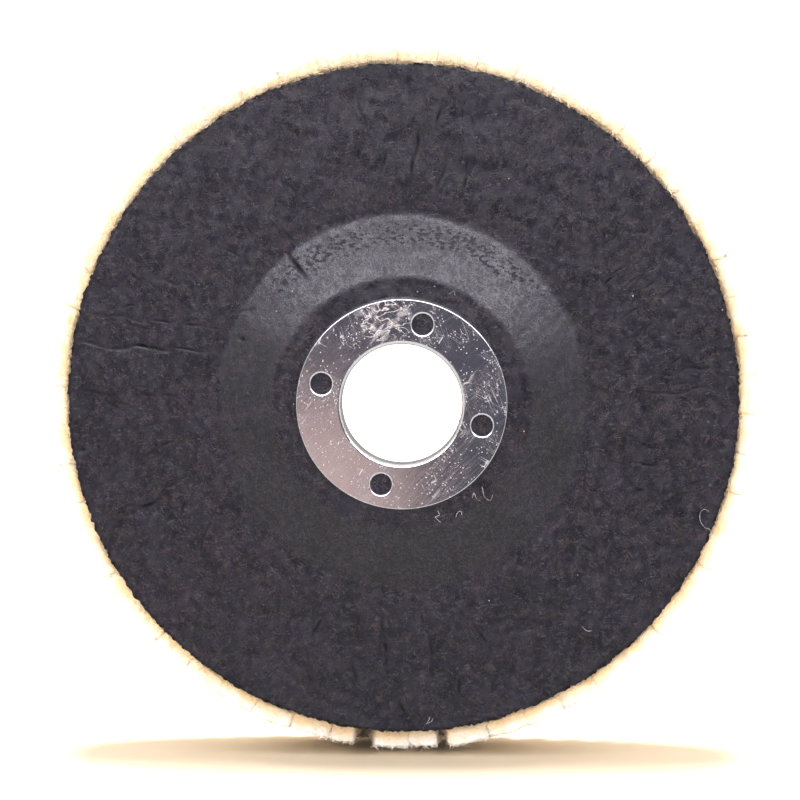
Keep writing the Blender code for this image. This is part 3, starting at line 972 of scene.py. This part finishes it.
def ring_material(sizes):
    """Bright plated sheet: diagonal rolling grain, white specks of painted glint, scratches and a web of
    dried glue.
    """
    material, bench, shader, where, _ = new_material("plated_sheet_metal", metallic=1.0)
    rising = math.radians(45)
    grain = bench.streaks(where, rising, 8000.0, 300.0, 3.0)
    broad = bench.streaks(where, rising, 2600.0, 160.0, 2.0)
    speckle = bench.noise(where, 5200.0, 2.0, 0.6)
    patches = bench.noise(where, 420.0, 3.0, 0.6)
    # The rolling grain shows in the colour only on the lower part of the ring.
    low = bench.span(bench.parts(where)[2], 2 * MM, -6 * MM)
    lined = bench.span(grain, 0.40, 0.56, 0.72, 1.0)
    bright = bench.times(bench.span(low, 0.0, 1.0, 1.0, lined), bench.span(patches, 0.35, 0.65, 0.86, 1.0))
    dull = tuple(0.45 * c for c in sizes.tint)
    colour = bench.mix(bright, plain(dull), plain(sizes.tint))
    runs = ((1.9, 2300.0, 90.0, 0.010), (-1.15, 2900.0, 120.0, 0.008), (0.55, 3300.0, 140.0, 0.008),
            (2.6, 2100.0, 110.0, 0.010))
    scratches = bench.line_web(where, runs, 0.0, (190.0, 40.0))
    # White specks, crowded here and there: painted glints, pale and less metallic, where the top light would
    # catch fine bumps in the plating.
    glint_cells = bench.cells(where, 2900.0)
    chosen = bench.add("ShaderNodeSeparateColor", {0: glint_cells.outputs["Color"]}).outputs[0]
    crowd = bench.span(bench.noise(where, 260.0, 2.0), 0.38, 0.62, 0.86, 0.35)
    specks = bench.times(bench.span(glint_cells.outputs["Distance"], 0.12, 0.34, 1.0, 0.0),
                         bench.math("GREATER_THAN", chosen, crowd))
    smears = bench.span(bench.streaks(where, 0.9, 1500.0, 260.0, 3.0), 0.56, 0.70)
    smears = bench.times(smears, bench.span(bench.noise(where, 210.0, 1.0), 0.46, 0.60))
    # Painted glints of the specks, real scratches and smears are laid together in one mark.
    glints_scratches_smears = bench.most(bench.times(specks, 0.55), bench.times(scratches, 0.42), bench.times(smears, 0.25))
    # Dried glue: a web of threads left of the top keying hole.
    home = bench.vector("DISTANCE", where, (-2.2 * MM, 0.0, 11.6 * MM), out="Value")
    zone = bench.span(home, 4.4 * MM, 2.2 * MM)
    drawn = bench.turned(where, (0, 0.6, 0), (1, 1, 2.4))
    web = bench.thin_lines(bench.noise(drawn, 360.0, 2.0, 0.5, 0.5), 0.020)
    film = bench.span(bench.noise(where, 700.0, 3.0), 0.50, 0.62)
    glue = bench.times(zone, bench.most(web, bench.times(film, 0.28)), 0.8)
    # The pale colour laid on the marks paints the glints of the specks, and also shows the scratches and
    # smears.
    colour = bench.mix(glints_scratches_smears, colour, (0.60, 0.59, 0.61, 1))
    colour = bench.mix(glue, colour, (0.24, 0.20, 0.17, 1))
    bench.plug(shader.inputs["Base Color"], colour)
    polish = bench.span(grain, 0.3, 0.7, 0.10, 0.16)
    rough = bench.plus(polish, bench.times(glints_scratches_smears, 0.4), bench.times(glue, 0.4))
    bench.plug(shader.inputs["Roughness"], rough)
    covered = bench.blend((glue, 0.9), (glints_scratches_smears, 0.55))
    bench.plug(shader.inputs["Metallic"], bench.minus(1.0, covered, clamp=True))
    ridges = bench.blend((grain, 0.30), (broad, 0.35), (speckle, 0.15), (glue, 1.2), (glints_scratches_smears, 0.6))
    bench.plug(shader.inputs["Normal"], bench.bump(ridges, 0.008 * MM, 0.6))
    return material


# ---------------------------------------------------------------- laminate, glass cloth and glue

def make_laminate_mesh(sizes):
    """The pressed board between the facing and the glass cloth, with a roughly cut rim."""
    steps = 540
    rim, thickness, ragged = 44.85 * MM, 2.1 * MM, 0.10 * MM
    below = sizes.cloth + 0.03 * MM
    radii = np.concatenate([np.linspace(sizes.hole, 15 * MM, 4), np.linspace(16 * MM, 26 * MM, 22),
                            np.linspace(28 * MM, rim, 8)])
    angles = np.linspace(0, 2 * math.pi, steps, endpoint=False)
    x, _, z = polar(rim, angles, 0)
    cut = ragged * (ripple_field(x, z, 4 * MM, 71) + 0.7 * ripple_field(x, z, 1.2 * MM, 72)) - ragged
    deep = dish_depth(radii, below + thickness, sizes)
    shallow = dish_depth(radii, below, sizes)
    grid_radii = np.repeat(radii[:, None], steps, axis=1)
    grid_radii[-1] += cut
    sides = np.concatenate([grid_radii, grid_radii[-1:] + 0.1 * MM, grid_radii[::-1]])
    middle = np.array([(deep[-1] + shallow[-1]) / 2])
    depths = np.concatenate([deep, middle, shallow[::-1]])[:, None] + np.zeros(steps)
    return turned_mesh("pressed_laminate", sides, depths, steps)


def laminate_material():
    """Brown-black phenolic board: pressed fibres, glossy resin patches, pale cut strands at the rim."""
    material, bench, shader, where, radius = new_material("phenolic_board")
    board = bench.noise(where, 700.0, 4.0, 0.6)
    colour = bench.mix(bench.span(board, 0.35, 0.65), (0.016, 0.011, 0.008, 1), (0.060, 0.038, 0.024, 1))
    runs = ((0.7, 3800.0, 260.0, 0.03), (2.2, 3300.0, 230.0, 0.03))
    strands = bench.times(bench.line_web(where, runs, 1.0), 0.5)
    colour = bench.mix(strands, colour, (0.15, 0.11, 0.07, 1))
    edge = bench.span(radius, 44.0 * MM, 44.7 * MM)
    layers = bench.noise(bench.vector("MULTIPLY", where, (900, 5200, 900)), 1.0, 3.0)
    edge = bench.times(edge, bench.span(layers, 0.45, 0.62), 0.6)
    colour = bench.mix(edge, colour, (0.20, 0.15, 0.10, 1))
    bench.plug(shader.inputs["Base Color"], colour)
    bench.plug(shader.inputs["Roughness"], bench.span(board, 0.35, 0.65, 0.35, 0.62))
    lumps = bench.blend((board, 0.7), (strands, 0.6))
    bench.plug(shader.inputs["Normal"], bench.bump(lumps, 0.15 * MM, 0.8))
    return material


def glass_material():
    """Glass yarn soaked in dark resin: filaments along the yarn, amber where the resin is thin."""
    material, bench, shader, where, _ = new_material("resin_glass_yarn", specular=0.6)
    filaments = bench.noise(where, 4500.0, 3.0, 0.6)
    soak = bench.noise(where, 330.0, 3.0, 0.6)
    colour = bench.mix(bench.span(soak, 0.38, 0.62), (0.060, 0.036, 0.018, 1), (0.26, 0.18, 0.095, 1))
    glassy = bench.times(bench.span(filaments, 0.50, 0.62), 0.5)
    colour = bench.mix(glassy, colour, (0.42, 0.34, 0.22, 1))
    bench.plug(shader.inputs["Base Color"], colour)
    bench.plug(shader.inputs["Roughness"], bench.span(soak, 0.35, 0.65, 0.30, 0.52))
    bench.plug(shader.inputs["Normal"], bench.bump(filaments, 0.05 * MM, 0.8))
    return material


def make_glue_mesh():
    """The adhesive bed with lumpy sides and a fillet of squeezed-out glue at every flap root."""
    steps = 648
    angles = np.linspace(0, 2 * math.pi, steps, endpoint=False)
    x, _, z = polar(44 * MM, angles, 0)
    lobes = 0.5 + 0.5 * np.cos(angles / PITCH * 2 * math.pi)
    outer_lump = 0.28 * MM * ripple_field(x, z, 5 * MM, 61) + 0.22 * MM * lobes
    inner_lump = 0.35 * MM * ripple_field(x, z, 7 * MM, 62) + 0.3 * MM * lobes
    wave = 0.12 * MM * ripple_field(x, z, 4 * MM, 63)
    inner, outer = 26.2 * MM, BED_HIGH.x
    low, high, floor = BED_LOW.y - 0.25 * MM, BED_HIGH.y, FLAP_FLOOR
    # The profile, from the inner foot over the top to the outer foot: radius, the lump that shifts it and how
    # much of it, depth and how much of the wave shifts that.
    profile = (
        (inner - 0.5 * MM, inner_lump, -0.3, low, 0),
        (inner - 0.9 * MM, inner_lump, -1, low + 0.35 * MM, 0),
        (inner - 0.55 * MM, inner_lump, -1, high - 0.1 * MM, 1),
        (inner + 0.3 * MM, inner_lump, 0, high + 0.5 * MM, 1),
        (inner + 1.6 * MM, inner_lump, 0, floor + 0.9 * MM, 1),
        (outer - 1.4 * MM, outer_lump, 0, floor + 0.2 * MM, 1),
        (outer - 0.2 * MM, outer_lump, 0.5, floor, 1),
        (outer + 0.18 * MM, outer_lump, 0.6, high - 0.15 * MM, 1),
        (outer + 0.02 * MM, outer_lump, 0.4, low + 0.35 * MM, 0),
        (outer - 0.5 * MM, outer_lump, 0, low, 0),
    )
    radii = np.array([radius + share * lump for radius, lump, share, _, _ in profile])
    depths = np.array([depth + share * wave for _, _, _, depth, share in profile])
    return turned_mesh("adhesive_bed", radii, depths, steps)


def glue_material():
    """Cured brown adhesive: clear-coated lumps, darker in the hollows, with fine bubbles."""
    material, bench, shader, where, _ = new_material(
        "cured_brown_adhesive", Coat_Weight=0.35, Coat_Roughness=0.18)
    lumps = bench.noise(where, 480.0, 3.0, 0.6)
    colour = bench.mix(bench.span(lumps, 0.35, 0.65), (0.060, 0.030, 0.014, 1), (0.20, 0.115, 0.055, 1))
    bubbles = bench.cells(where, 1500.0).outputs["Distance"]
    colour = bench.mix(bench.span(bubbles, 0.16, 0.10, 0.0, 0.6), colour, (0.03, 0.014, 0.006, 1))
    bench.plug(shader.inputs["Base Color"], colour)
    bench.plug(shader.inputs["Roughness"], bench.span(lumps, 0.3, 0.7, 0.25, 0.45))
    height = bench.plus(lumps, bench.span(bubbles, 0.05, 0.22, 0.0, 0.4))
    bench.plug(shader.inputs["Normal"], bench.bump(height, 0.20 * MM, 0.7))
    return material


# ---------------------------------------------------------------- felt flaps

def flap_end(across, sizes):
    """Outer end of a flap at a distance across its width, with both rim corners rounded."""
    into = sizes.corner - np.minimum(across, sizes.width - across)
    drop = sizes.corner - np.sqrt(np.clip(sizes.corner**2 - np.clip(into, 0, None) ** 2, 0, None))
    stands_proud = 0.20 * MM
    return WHEEL_RADIUS + stands_proud - drop


def make_flap_mesh(sizes):
    """One flap: a soft-edged felt strip that leans along the rim, twists, and thickens towards the rim."""
    full = WHEEL_RADIUS - sizes.inner
    ease = np.array([0, 0.03, 0.09, 0.18, 0.32, 0.5, 0.72, 1.0])
    border = ease * sizes.soft_edge * 1.4
    # Rows are close together where the flap stands past the plate, and columns where its root edge is open.
    overhang, open_width = 3.6 * MM, 7.2 * MM
    lengths = np.concatenate([
        border[::2], np.linspace(border[-1], full - overhang, 7)[1:],
        np.linspace(full - overhang, full - border[-1], 6)[1:-1], full - border[::-1]]) / full
    widths = np.concatenate([
        border, np.linspace(border[-1], open_width, 15)[1:],
        np.linspace(open_width, sizes.width - border[-1], 6)[1:-1], sizes.width - border[::-1]])
    along, across = np.meshgrid(lengths, widths, indexing="ij")
    end = flap_end(across, sizes)
    radius = sizes.inner + along * (end - sizes.inner)
    share = (radius - sizes.inner) / full
    lean = sizes.lean_inner + share * (sizes.lean_outer - sizes.lean_inner)
    thick = radius * PITCH * np.sin(lean) - 0.04 * MM
    tip = full * (1 - along)
    nearest = np.minimum(np.minimum(across, sizes.width - across), np.minimum(tip, full * along))
    profile = (1 - (1 - np.clip(nearest / sizes.soft_edge, 0, 1)) ** 2.4) ** (1 / 2.4)
    half = 0.5 * thick * profile
    root = FLAP_FLOOR + 0.85 * MM
    # Past the plate's rim nothing holds the pile back, so it swells towards the grinder side until it
    # stands level, as far as the next flap's root edge.
    crisp = np.clip(nearest / (0.3 * MM), 0, 1) ** 0.5
    past_plate = smooth_step(radius, 44.9 * MM, 45.6 * MM)
    uncovered = 1 - smooth_step(across, 6.0 * MM, 7.1 * MM)
    swell = past_plate * uncovered * crisp
    level = 5.9 * MM + 0.15 * MM * smooth_step(across, 1.5 * MM, 5.5 * MM)
    sheets, piles = [], []
    for face in (-1, 1):
        sideways = across * np.cos(lean) - face * half * np.sin(lean)
        depth = root + across * np.sin(lean) + face * half * np.cos(lean)
        if face < 0:
            depth = depth + swell * (level - depth)
            pile = 1 - smooth_step(across, 5.8 * MM, 6.4 * MM)
        else:
            pile = smooth_step(across, 9.6 * MM, 10.6 * MM)
        sheets.append(points_at(radius, sideways / radius, depth))
        piles.append(np.maximum(pile, tip < sizes.soft_edge).ravel())
    count = len(sheets[0])
    faces = grid_faces(len(lengths), len(widths), closed=False)
    faces += [tuple(reversed(f)) for f in grid_faces(len(lengths), len(widths), count, closed=False)]
    mesh = mesh_from("felt_flap", np.concatenate(sheets), faces)
    store_attribute(mesh, "pile", np.concatenate(piles))
    face_outward(mesh, 1e-6)
    mesh.shade_smooth()
    return mesh


def felt_material(sizes, name="wool_felt_flaps", nap=False):
    """Wool felt: matted fibres, cream near the plate and white at its ends and on the working side, partly
    its own tone and partly painted shade and light, yellowed in places.
    """
    material, bench, shader, where, radius = new_material(
        name, specular=0.15, Roughness=0.95, Sheen_Weight=0.25, Sheen_Roughness=0.6)
    depth = bench.parts(where)[1]
    # Painted shade and light: cream near the plate, where the plate shades it, turning white at the outer
    # ends and on the working side, where light washes the felt out. This is partly the felt's own tone, and
    # the cloud varies it at random.
    cloud = bench.span(bench.noise(where, 320.0, 3.0, 0.6), 0.3, 0.7, -0.42, 0.34)
    outer_end = bench.span(radius, 45.5 * MM, 47.5 * MM)
    working_side = bench.span(depth, 9.5 * MM, 12.0 * MM)
    white = bench.plus(bench.most(outer_end, working_side), cloud, clamp=True)
    colour = bench.mix(white, plain(sizes.cream), plain(sizes.white))
    if not nap:
        matted = bench.noise(where, 2600.0, 4.0, 0.7)
        stained = bench.times(bench.span(matted, 0.36, 0.50, 1.0, 0.0), 0.30)
        colour = bench.mix(stained, colour, (0.62, 0.48, 0.30, 1))
        runs = ((0.4, 7000.0, 620.0, 0.05), (1.6, 6400.0, 560.0, 0.05), (2.6, 7600.0, 600.0, 0.05))
        hairs = bench.line_web(where, runs, 2.0)
        height = bench.plus(matted, bench.times(hairs, 0.35))
        bench.plug(shader.inputs["Normal"], bench.bump(height, 0.22 * MM, 0.8))
    # Painted shade: the felt is darkened brown across its rim at each parted gap, where the flap below lies
    # in shade.
    rim = bench.span(radius, 44.2 * MM, 45.0 * MM)
    between = bench.times(rim, bench.span(depth, 4.6 * MM, 5.8 * MM), bench.span(depth, 17.2 * MM, 16.4 * MM))
    for heading, width in GAPS.values():
        near = bench.span(bench.from_heading(where, heading), 0.95 * width, 0.55 * width)
        colour = bench.mix(bench.times(near, between, 0.85), colour, (0.23, 0.16, 0.10, 1))
    bench.plug(shader.inputs["Base Color"], colour)
    return material


# ---------------------------------------------------------------- operators

class WHEEL_OT_arbor_ring(bpy.types.Operator):
    """Make the stamped arbor ring"""
    bl_idname = "wheel.arbor_ring"
    bl_label = "Arbor ring"

    def execute(self, context):
        sizes = context.scene.wheel_ring
        piece = new_object("arbor_ring_stamped", make_ring_mesh(sizes))
        finish_piece(piece, ring_material(sizes), "plated_steel", "arbor_ring")
        return {"FINISHED"}


class WHEEL_OT_facing(bpy.types.Operator):
    """Make the black cloth facing"""
    bl_idname = "wheel.facing"
    bl_label = "Cloth facing"

    def execute(self, context):
        sizes = context.scene.wheel_plate
        piece = new_object("back_cloth_facing", make_facing_mesh(sizes))
        finish_piece(piece, facing_material(sizes), "black_nonwoven", "back_cloth")
        return {"FINISHED"}


class WHEEL_OT_loose_fibres(bpy.types.Operator):
    """Scatter loose fibres on the facing and at its rim"""
    bl_idname = "wheel.loose_fibres"
    bl_label = "Loose fibres"

    def execute(self, context):
        sizes = context.scene.wheel_plate
        tree = hair_tree()
        cloth = bpy.data.objects["back_cloth_facing"]
        pale = fibre_material("pale_loose_fibre", (0.085, 0.078, 0.084))
        dark = fibre_material("black_rim_fibre", (0.020, 0.017, 0.018))
        lying = {
            "Density": 0.80e6, "Inner Radius": 14.4 * MM, "Full Radius": 16 * MM, "Outer Radius": 44.6 * MM,
            "Length": 0.9 * MM, "Thickness": 0.014, "Lean": 1.5, "Bend": 0.35, "Seed": 31,
        }
        rim = {
            "Density": 9.0e6, "Inner Radius": 44.3 * MM, "Full Radius": 44.9 * MM, "Length": 0.65 * MM,
            "Thickness": 0.028, "Lean": 1.2, "Bend": 0.4, "Seed": 41,
        }
        for name, material, values in (("cloth_pale_fibres", pale, lying), ("cloth_rim_fibres", dark, rim)):
            piece = new_object(name, cloth.data.copy())
            run_tree(piece, tree, material, values)
            finish_piece(piece, material, "black_nonwoven")
        mesh = thread_mesh("cloth_stray_hairs", stray_hair_paths(sizes), 0.048 * MM)
        hairs = new_object("cloth_stray_hairs", mesh)
        finish_piece(hairs, fibre_material("white_stray_hair", (0.42, 0.40, 0.43), 0.4), "wool_felt")
        return {"FINISHED"}


class WHEEL_OT_laminate(bpy.types.Operator):
    """Make the pressed laminate under the facing"""
    bl_idname = "wheel.laminate"
    bl_label = "Pressed laminate"

    def execute(self, context):
        piece = new_object("pressed_laminate", make_laminate_mesh(context.scene.wheel_plate))
        finish_piece(piece, laminate_material(), "phenolic_laminate", "backing_laminate")
        return {"FINISHED"}


class WHEEL_OT_glass_cloth(bpy.types.Operator):
    """Weave the glass cloth on the plate's working side"""
    bl_idname = "wheel.glass_cloth"
    bl_label = "Glass cloth"

    def execute(self, context):
        sizes = context.scene.wheel_plate
        piece = new_object("woven_glass_cloth", bpy.data.meshes.new("woven_glass_cloth"))
        # The cone of this layer lies a little further in than that of the facing.
        inset = 0.5 * MM
        values = {
            "Depth": CLOTH_LOW.y + sizes.cloth + 2.22 * MM, "Rise": HUB_RISE,
            "Hub": sizes.hub_radius - inset, "Crease": sizes.crease_radius - inset,
            "Hole": sizes.hole + 0.3 * MM, "Rim": GLASS_HIGH.x,
        }
        material = glass_material()
        run_tree(piece, woven_tree(), material, values)
        piece.data.shade_smooth()
        finish_piece(piece, material, "glass_mesh", "glass_mesh")
        return {"FINISHED"}


class WHEEL_OT_adhesive(bpy.types.Operator):
    """Make the bed of cured adhesive"""
    bl_idname = "wheel.adhesive"
    bl_label = "Adhesive bed"

    def execute(self, context):
        piece = new_object("adhesive_bed", make_glue_mesh())
        finish_piece(piece, glue_material(), "cured_adhesive", "adhesive_ring")
        return {"FINISHED"}


class WHEEL_OT_flaps(bpy.types.Operator):
    """Make the ring of felt flaps"""
    bl_idname = "wheel.flaps"
    bl_label = "Felt flaps"

    def execute(self, context):
        sizes = context.scene.wheel_flaps
        piece = new_object("felt_flaps", make_flap_mesh(sizes))
        material = felt_material(sizes)
        values = {
            "Count": len(FLAP_NODES), "Phase": -0.44, "Unevenness": 0.07, "Gap Depth": 0.8 * MM,
            "Lumps": 1.15 * MM, "Lump Scale": 760.0, "Seed": 4,
        }
        for gap, (heading, width) in GAPS.items():
            values[gap], values[gap + " Width"] = heading, width
        run_tree(piece, flap_ring_tree(), material, values)
        piece.data.shade_smooth()
        finish_piece(piece, material, "wool_felt", *FLAP_NODES)
        return {"FINISHED"}


class WHEEL_OT_nap(bpy.types.Operator):
    """Raise the nap on the felt"""
    bl_idname = "wheel.nap"
    bl_label = "Felt nap"

    def execute(self, context):
        sizes = context.scene.wheel_flaps
        tree = hair_tree()
        flaps = bpy.data.objects["felt_flaps"]
        material = felt_material(sizes, "wool_nap", nap=True)
        rim = {
            "Density": 2.16e6, "Inner Radius": NAP_START, "Full Radius": NAP_FULL, "Length": 0.55 * MM,
            "Thickness": 0.07, "Lean": 0.8, "Bend": 0.5,
        }
        face = {
            "Density": 0.75e6, "Inner Radius": 26 * MM, "Full Radius": 29 * MM, "Outer Radius": NAP_FULL,
            "Length": 0.8 * MM, "Thickness": 0.03, "Lean": 1.2, "Bend": 0.6,
        }
        stray = {
            "Density": 0.16e6, "Inner Radius": NAP_START, "Full Radius": NAP_FULL, "Length": 1.3 * MM,
            "Thickness": 0.012, "Lean": 0.8, "Bend": 0.7,
        }
        # The two dense coats are split over pieces that differ only in their seed.
        coats = [("felt_nap_rim_%d" % number, rim, 41 + 10 * number) for number in range(1, 6)]
        coats += [("felt_nap_face_1", face, 111), ("felt_nap_face_2", face, 121)]
        coats += [("felt_stray_hair", stray, 131)]
        for name, values, seed in coats:
            piece = new_object(name, flaps.data.copy())
            run_tree(piece, tree, material, dict(values, Seed=seed))
            finish_piece(piece, material, "wool_felt")
        return {"FINISHED"}


class WHEEL_OT_stage(bpy.types.Operator):
    """Set the floor, the lights and the camera"""
    bl_idname = "wheel.stage"
    bl_label = "Stage"

    def execute(self, context):
        scene = context.scene
        scene.view_settings.view_transform = "Standard"
        floor = make_floor()
        make_world(scene)
        key = add_softbox("key_softbox", (0.01, -0.63, 0.41), (1.22, 0.44), 11.2, (0.94, 0.905, 1.0))
        fill = add_softbox("front_fill", (0.0, -0.90, 0.09), (1.20, 0.26), 4.9, (1.0, 0.985, 0.985))
        fill.visible_glossy = False
        for lamp in (key, fill):
            set_reach(lamp, floor, "EXCLUDE")
        sun = add_sun("floor_sun", (0.0, -0.14, -0.99), 6.4, 15)
        bounce = add_sun("floor_bounce", (0.0, 0.35, -0.94), 0.60, 110, (1.0, 0.86, 0.64))
        for lamp in (sun, bounce):
            set_reach(lamp, floor, "INCLUDE")
        add_softbox("warm_card", (-0.079, -0.60, -0.100), (0.126, 0.080), 0.025, (1.0, 0.70, 0.61))
        scene.camera = add_camera(context.scene.wheel_stage)
        return {"FINISHED"}


def make_floor():
    """A pale floor that ends 20 cm in front of the wheel and doesn't show in its polished ring."""
    nap_height = 0.40 * MM
    level = -WHEEL_RADIUS - nap_height
    near, far, side = -0.20, 3.0, 2.5
    corners = [(-side, near, level), (side, near, level), (side, far, level), (-side, far, level)]
    floor = new_object("floor", mesh_from("floor", corners, [(0, 1, 2, 3)]))
    material, bench, shader, where, _ = new_material("pale_floor", specular=0.2, Roughness=0.7)
    haze = bench.noise(where, 6.0, 2.0)
    bench.plug(shader.inputs["Base Color"], bench.mix(haze, (0.92, 0.77, 0.58, 1), (0.94, 0.79, 0.61, 1)))
    floor.data.materials.append(material)
    floor.visible_glossy = False
    floor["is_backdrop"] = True
    return floor


def make_world(scene):
    """A pale tent round the wheel, and a dim bluish room in front of it, where the camera stands.

    Directions are those of the world: the first part of each is across, the second away from the camera and
    the third up. Seen directly, the background is plain white.
    """
    world = bpy.data.worlds.new("studio")
    world.use_nodes = True
    scene.world = world
    bench = NodeBench(world.node_tree)
    shader = world.node_tree.nodes["Background"]
    across, away, up = bench.parts(bench.add("ShaderNodeTexCoord").outputs["Generated"])
    top, bottom = bench.span(up, 0.96, 0.76), bench.span(up, -0.34, -0.16)
    sides = bench.span(bench.math("ABSOLUTE", across), 0.72, 0.46)
    front = bench.times(bench.span(away, -0.08, -0.42), top, bottom, sides)
    walls = bench.span(away, 0.1, 0.8, 0.95, 0.40)
    roof = bench.span(up, 0.35, 0.90, 0.0, 1.1)
    grey = dict.fromkeys(range(3), bench.plus(walls, roof))
    tent = bench.add("ShaderNodeCombineColor", grey).outputs[0]
    room = bench.mix(front, tent, (0.080, 0.083, 0.115, 1))
    seen = bench.add("ShaderNodeLightPath").outputs["Is Camera Ray"]
    bench.plug(shader.inputs["Color"], bench.mix(seen, room, (1.1, 1.1, 1.1, 1)))


def set_reach(lamp, floor, state):
    """Let a lamp light only the floor, or everything but the floor."""
    group = bpy.data.collections.new(lamp.name + "_reach")
    group.objects.link(floor)
    group.collection_objects[0].light_linking.link_state = state
    lamp.light_linking.receiver_collection = group


def aim(thing, direction):
    """Turn a lamp or a camera to look along a direction."""
    thing.rotation_euler = Vector(direction).to_track_quat("-Z", "Y").to_euler()


def add_softbox(name, place, size, power, colour):
    """A soft rectangular lamp that faces the wheel's centre."""
    data = bpy.data.lights.new(name, "AREA")
    data.shape = "RECTANGLE"
    data.size, data.size_y = size
    data.energy = power
    data.color = colour
    lamp = new_object(name, data)
    lamp.location = place
    aim(lamp, -Vector(place))
    lamp.visible_camera = False
    return lamp


def add_sun(name, direction, strength, degrees, colour=(1.0, 1.0, 1.0)):
    """A far lamp that shines along a direction; its width in degrees softens the shadow."""
    data = bpy.data.lights.new(name, "SUN")
    data.energy = strength
    data.angle = math.radians(degrees)
    data.color = colour
    lamp = new_object(name, data)
    aim(lamp, direction)
    return lamp


def add_camera(sizes):
    target = Vector((-0.21 * MM, 0.0, 0.63 * MM))
    level, swing = sizes.elevation, sizes.azimuth
    back = Vector((math.sin(swing) * math.cos(level), -math.cos(swing) * math.cos(level), math.sin(level)))
    data = bpy.data.cameras.new("studio_camera")
    data.lens = sizes.lens
    data.sensor_width = 36.0
    data.clip_start = 0.01
    data.clip_end = 50.0
    camera = new_object("studio_camera", data)
    camera.location = target + sizes.distance * back
    aim(camera, -back)
    return camera


class WHEEL_PT_panel(bpy.types.Panel):
    """Lists the wheel's pieces in the order in which they are made"""
    bl_idname = "WHEEL_PT_panel"
    bl_label = "Felt flap wheel"
    bl_space_type = "VIEW_3D"
    bl_region_type = "UI"
    bl_category = "Felt Wheel"

    def draw(self, context):
        for operator in OPERATORS:
            self.layout.operator(operator.bl_idname)
        for name in GROUPS:
            box = self.layout.box()
            group = getattr(context.scene, name)
            for key in group.__annotations__:
                box.prop(group, key)


GROUPS = {
    "wheel_ring": ArborRingSizes,
    "wheel_plate": PlateSizes,
    "wheel_flaps": FlapSizes,
    "wheel_stage": StageSizes,
}
OPERATORS = (
    WHEEL_OT_stage, WHEEL_OT_arbor_ring, WHEEL_OT_facing, WHEEL_OT_loose_fibres, WHEEL_OT_laminate,
    WHEEL_OT_glass_cloth, WHEEL_OT_adhesive, WHEEL_OT_flaps, WHEEL_OT_nap,
)


def register():
    for group in GROUPS.values():
        bpy.utils.register_class(group)
    for name, group in GROUPS.items():
        setattr(bpy.types.Scene, name, bpy.props.PointerProperty(type=group))
    for operator in OPERATORS:
        bpy.utils.register_class(operator)
    bpy.utils.register_class(WHEEL_PT_panel)


def unregister():
    bpy.utils.unregister_class(WHEEL_PT_panel)
    for operator in reversed(OPERATORS):
        bpy.utils.unregister_class(operator)
    for name in GROUPS:
        delattr(bpy.types.Scene, name)
    for group in reversed(list(GROUPS.values())):
        bpy.utils.unregister_class(group)


def main():
    register()
    for operator in OPERATORS:
        family, action = operator.bl_idname.split(".")
        getattr(getattr(bpy.ops, family), action)()
    boxes = {"cad": CAD_BOX, "visual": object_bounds()}
    boxes = {name: [list(map(float, corner)) for corner in box] for name, box in boxes.items()}


if __name__ == "__main__":
    main()
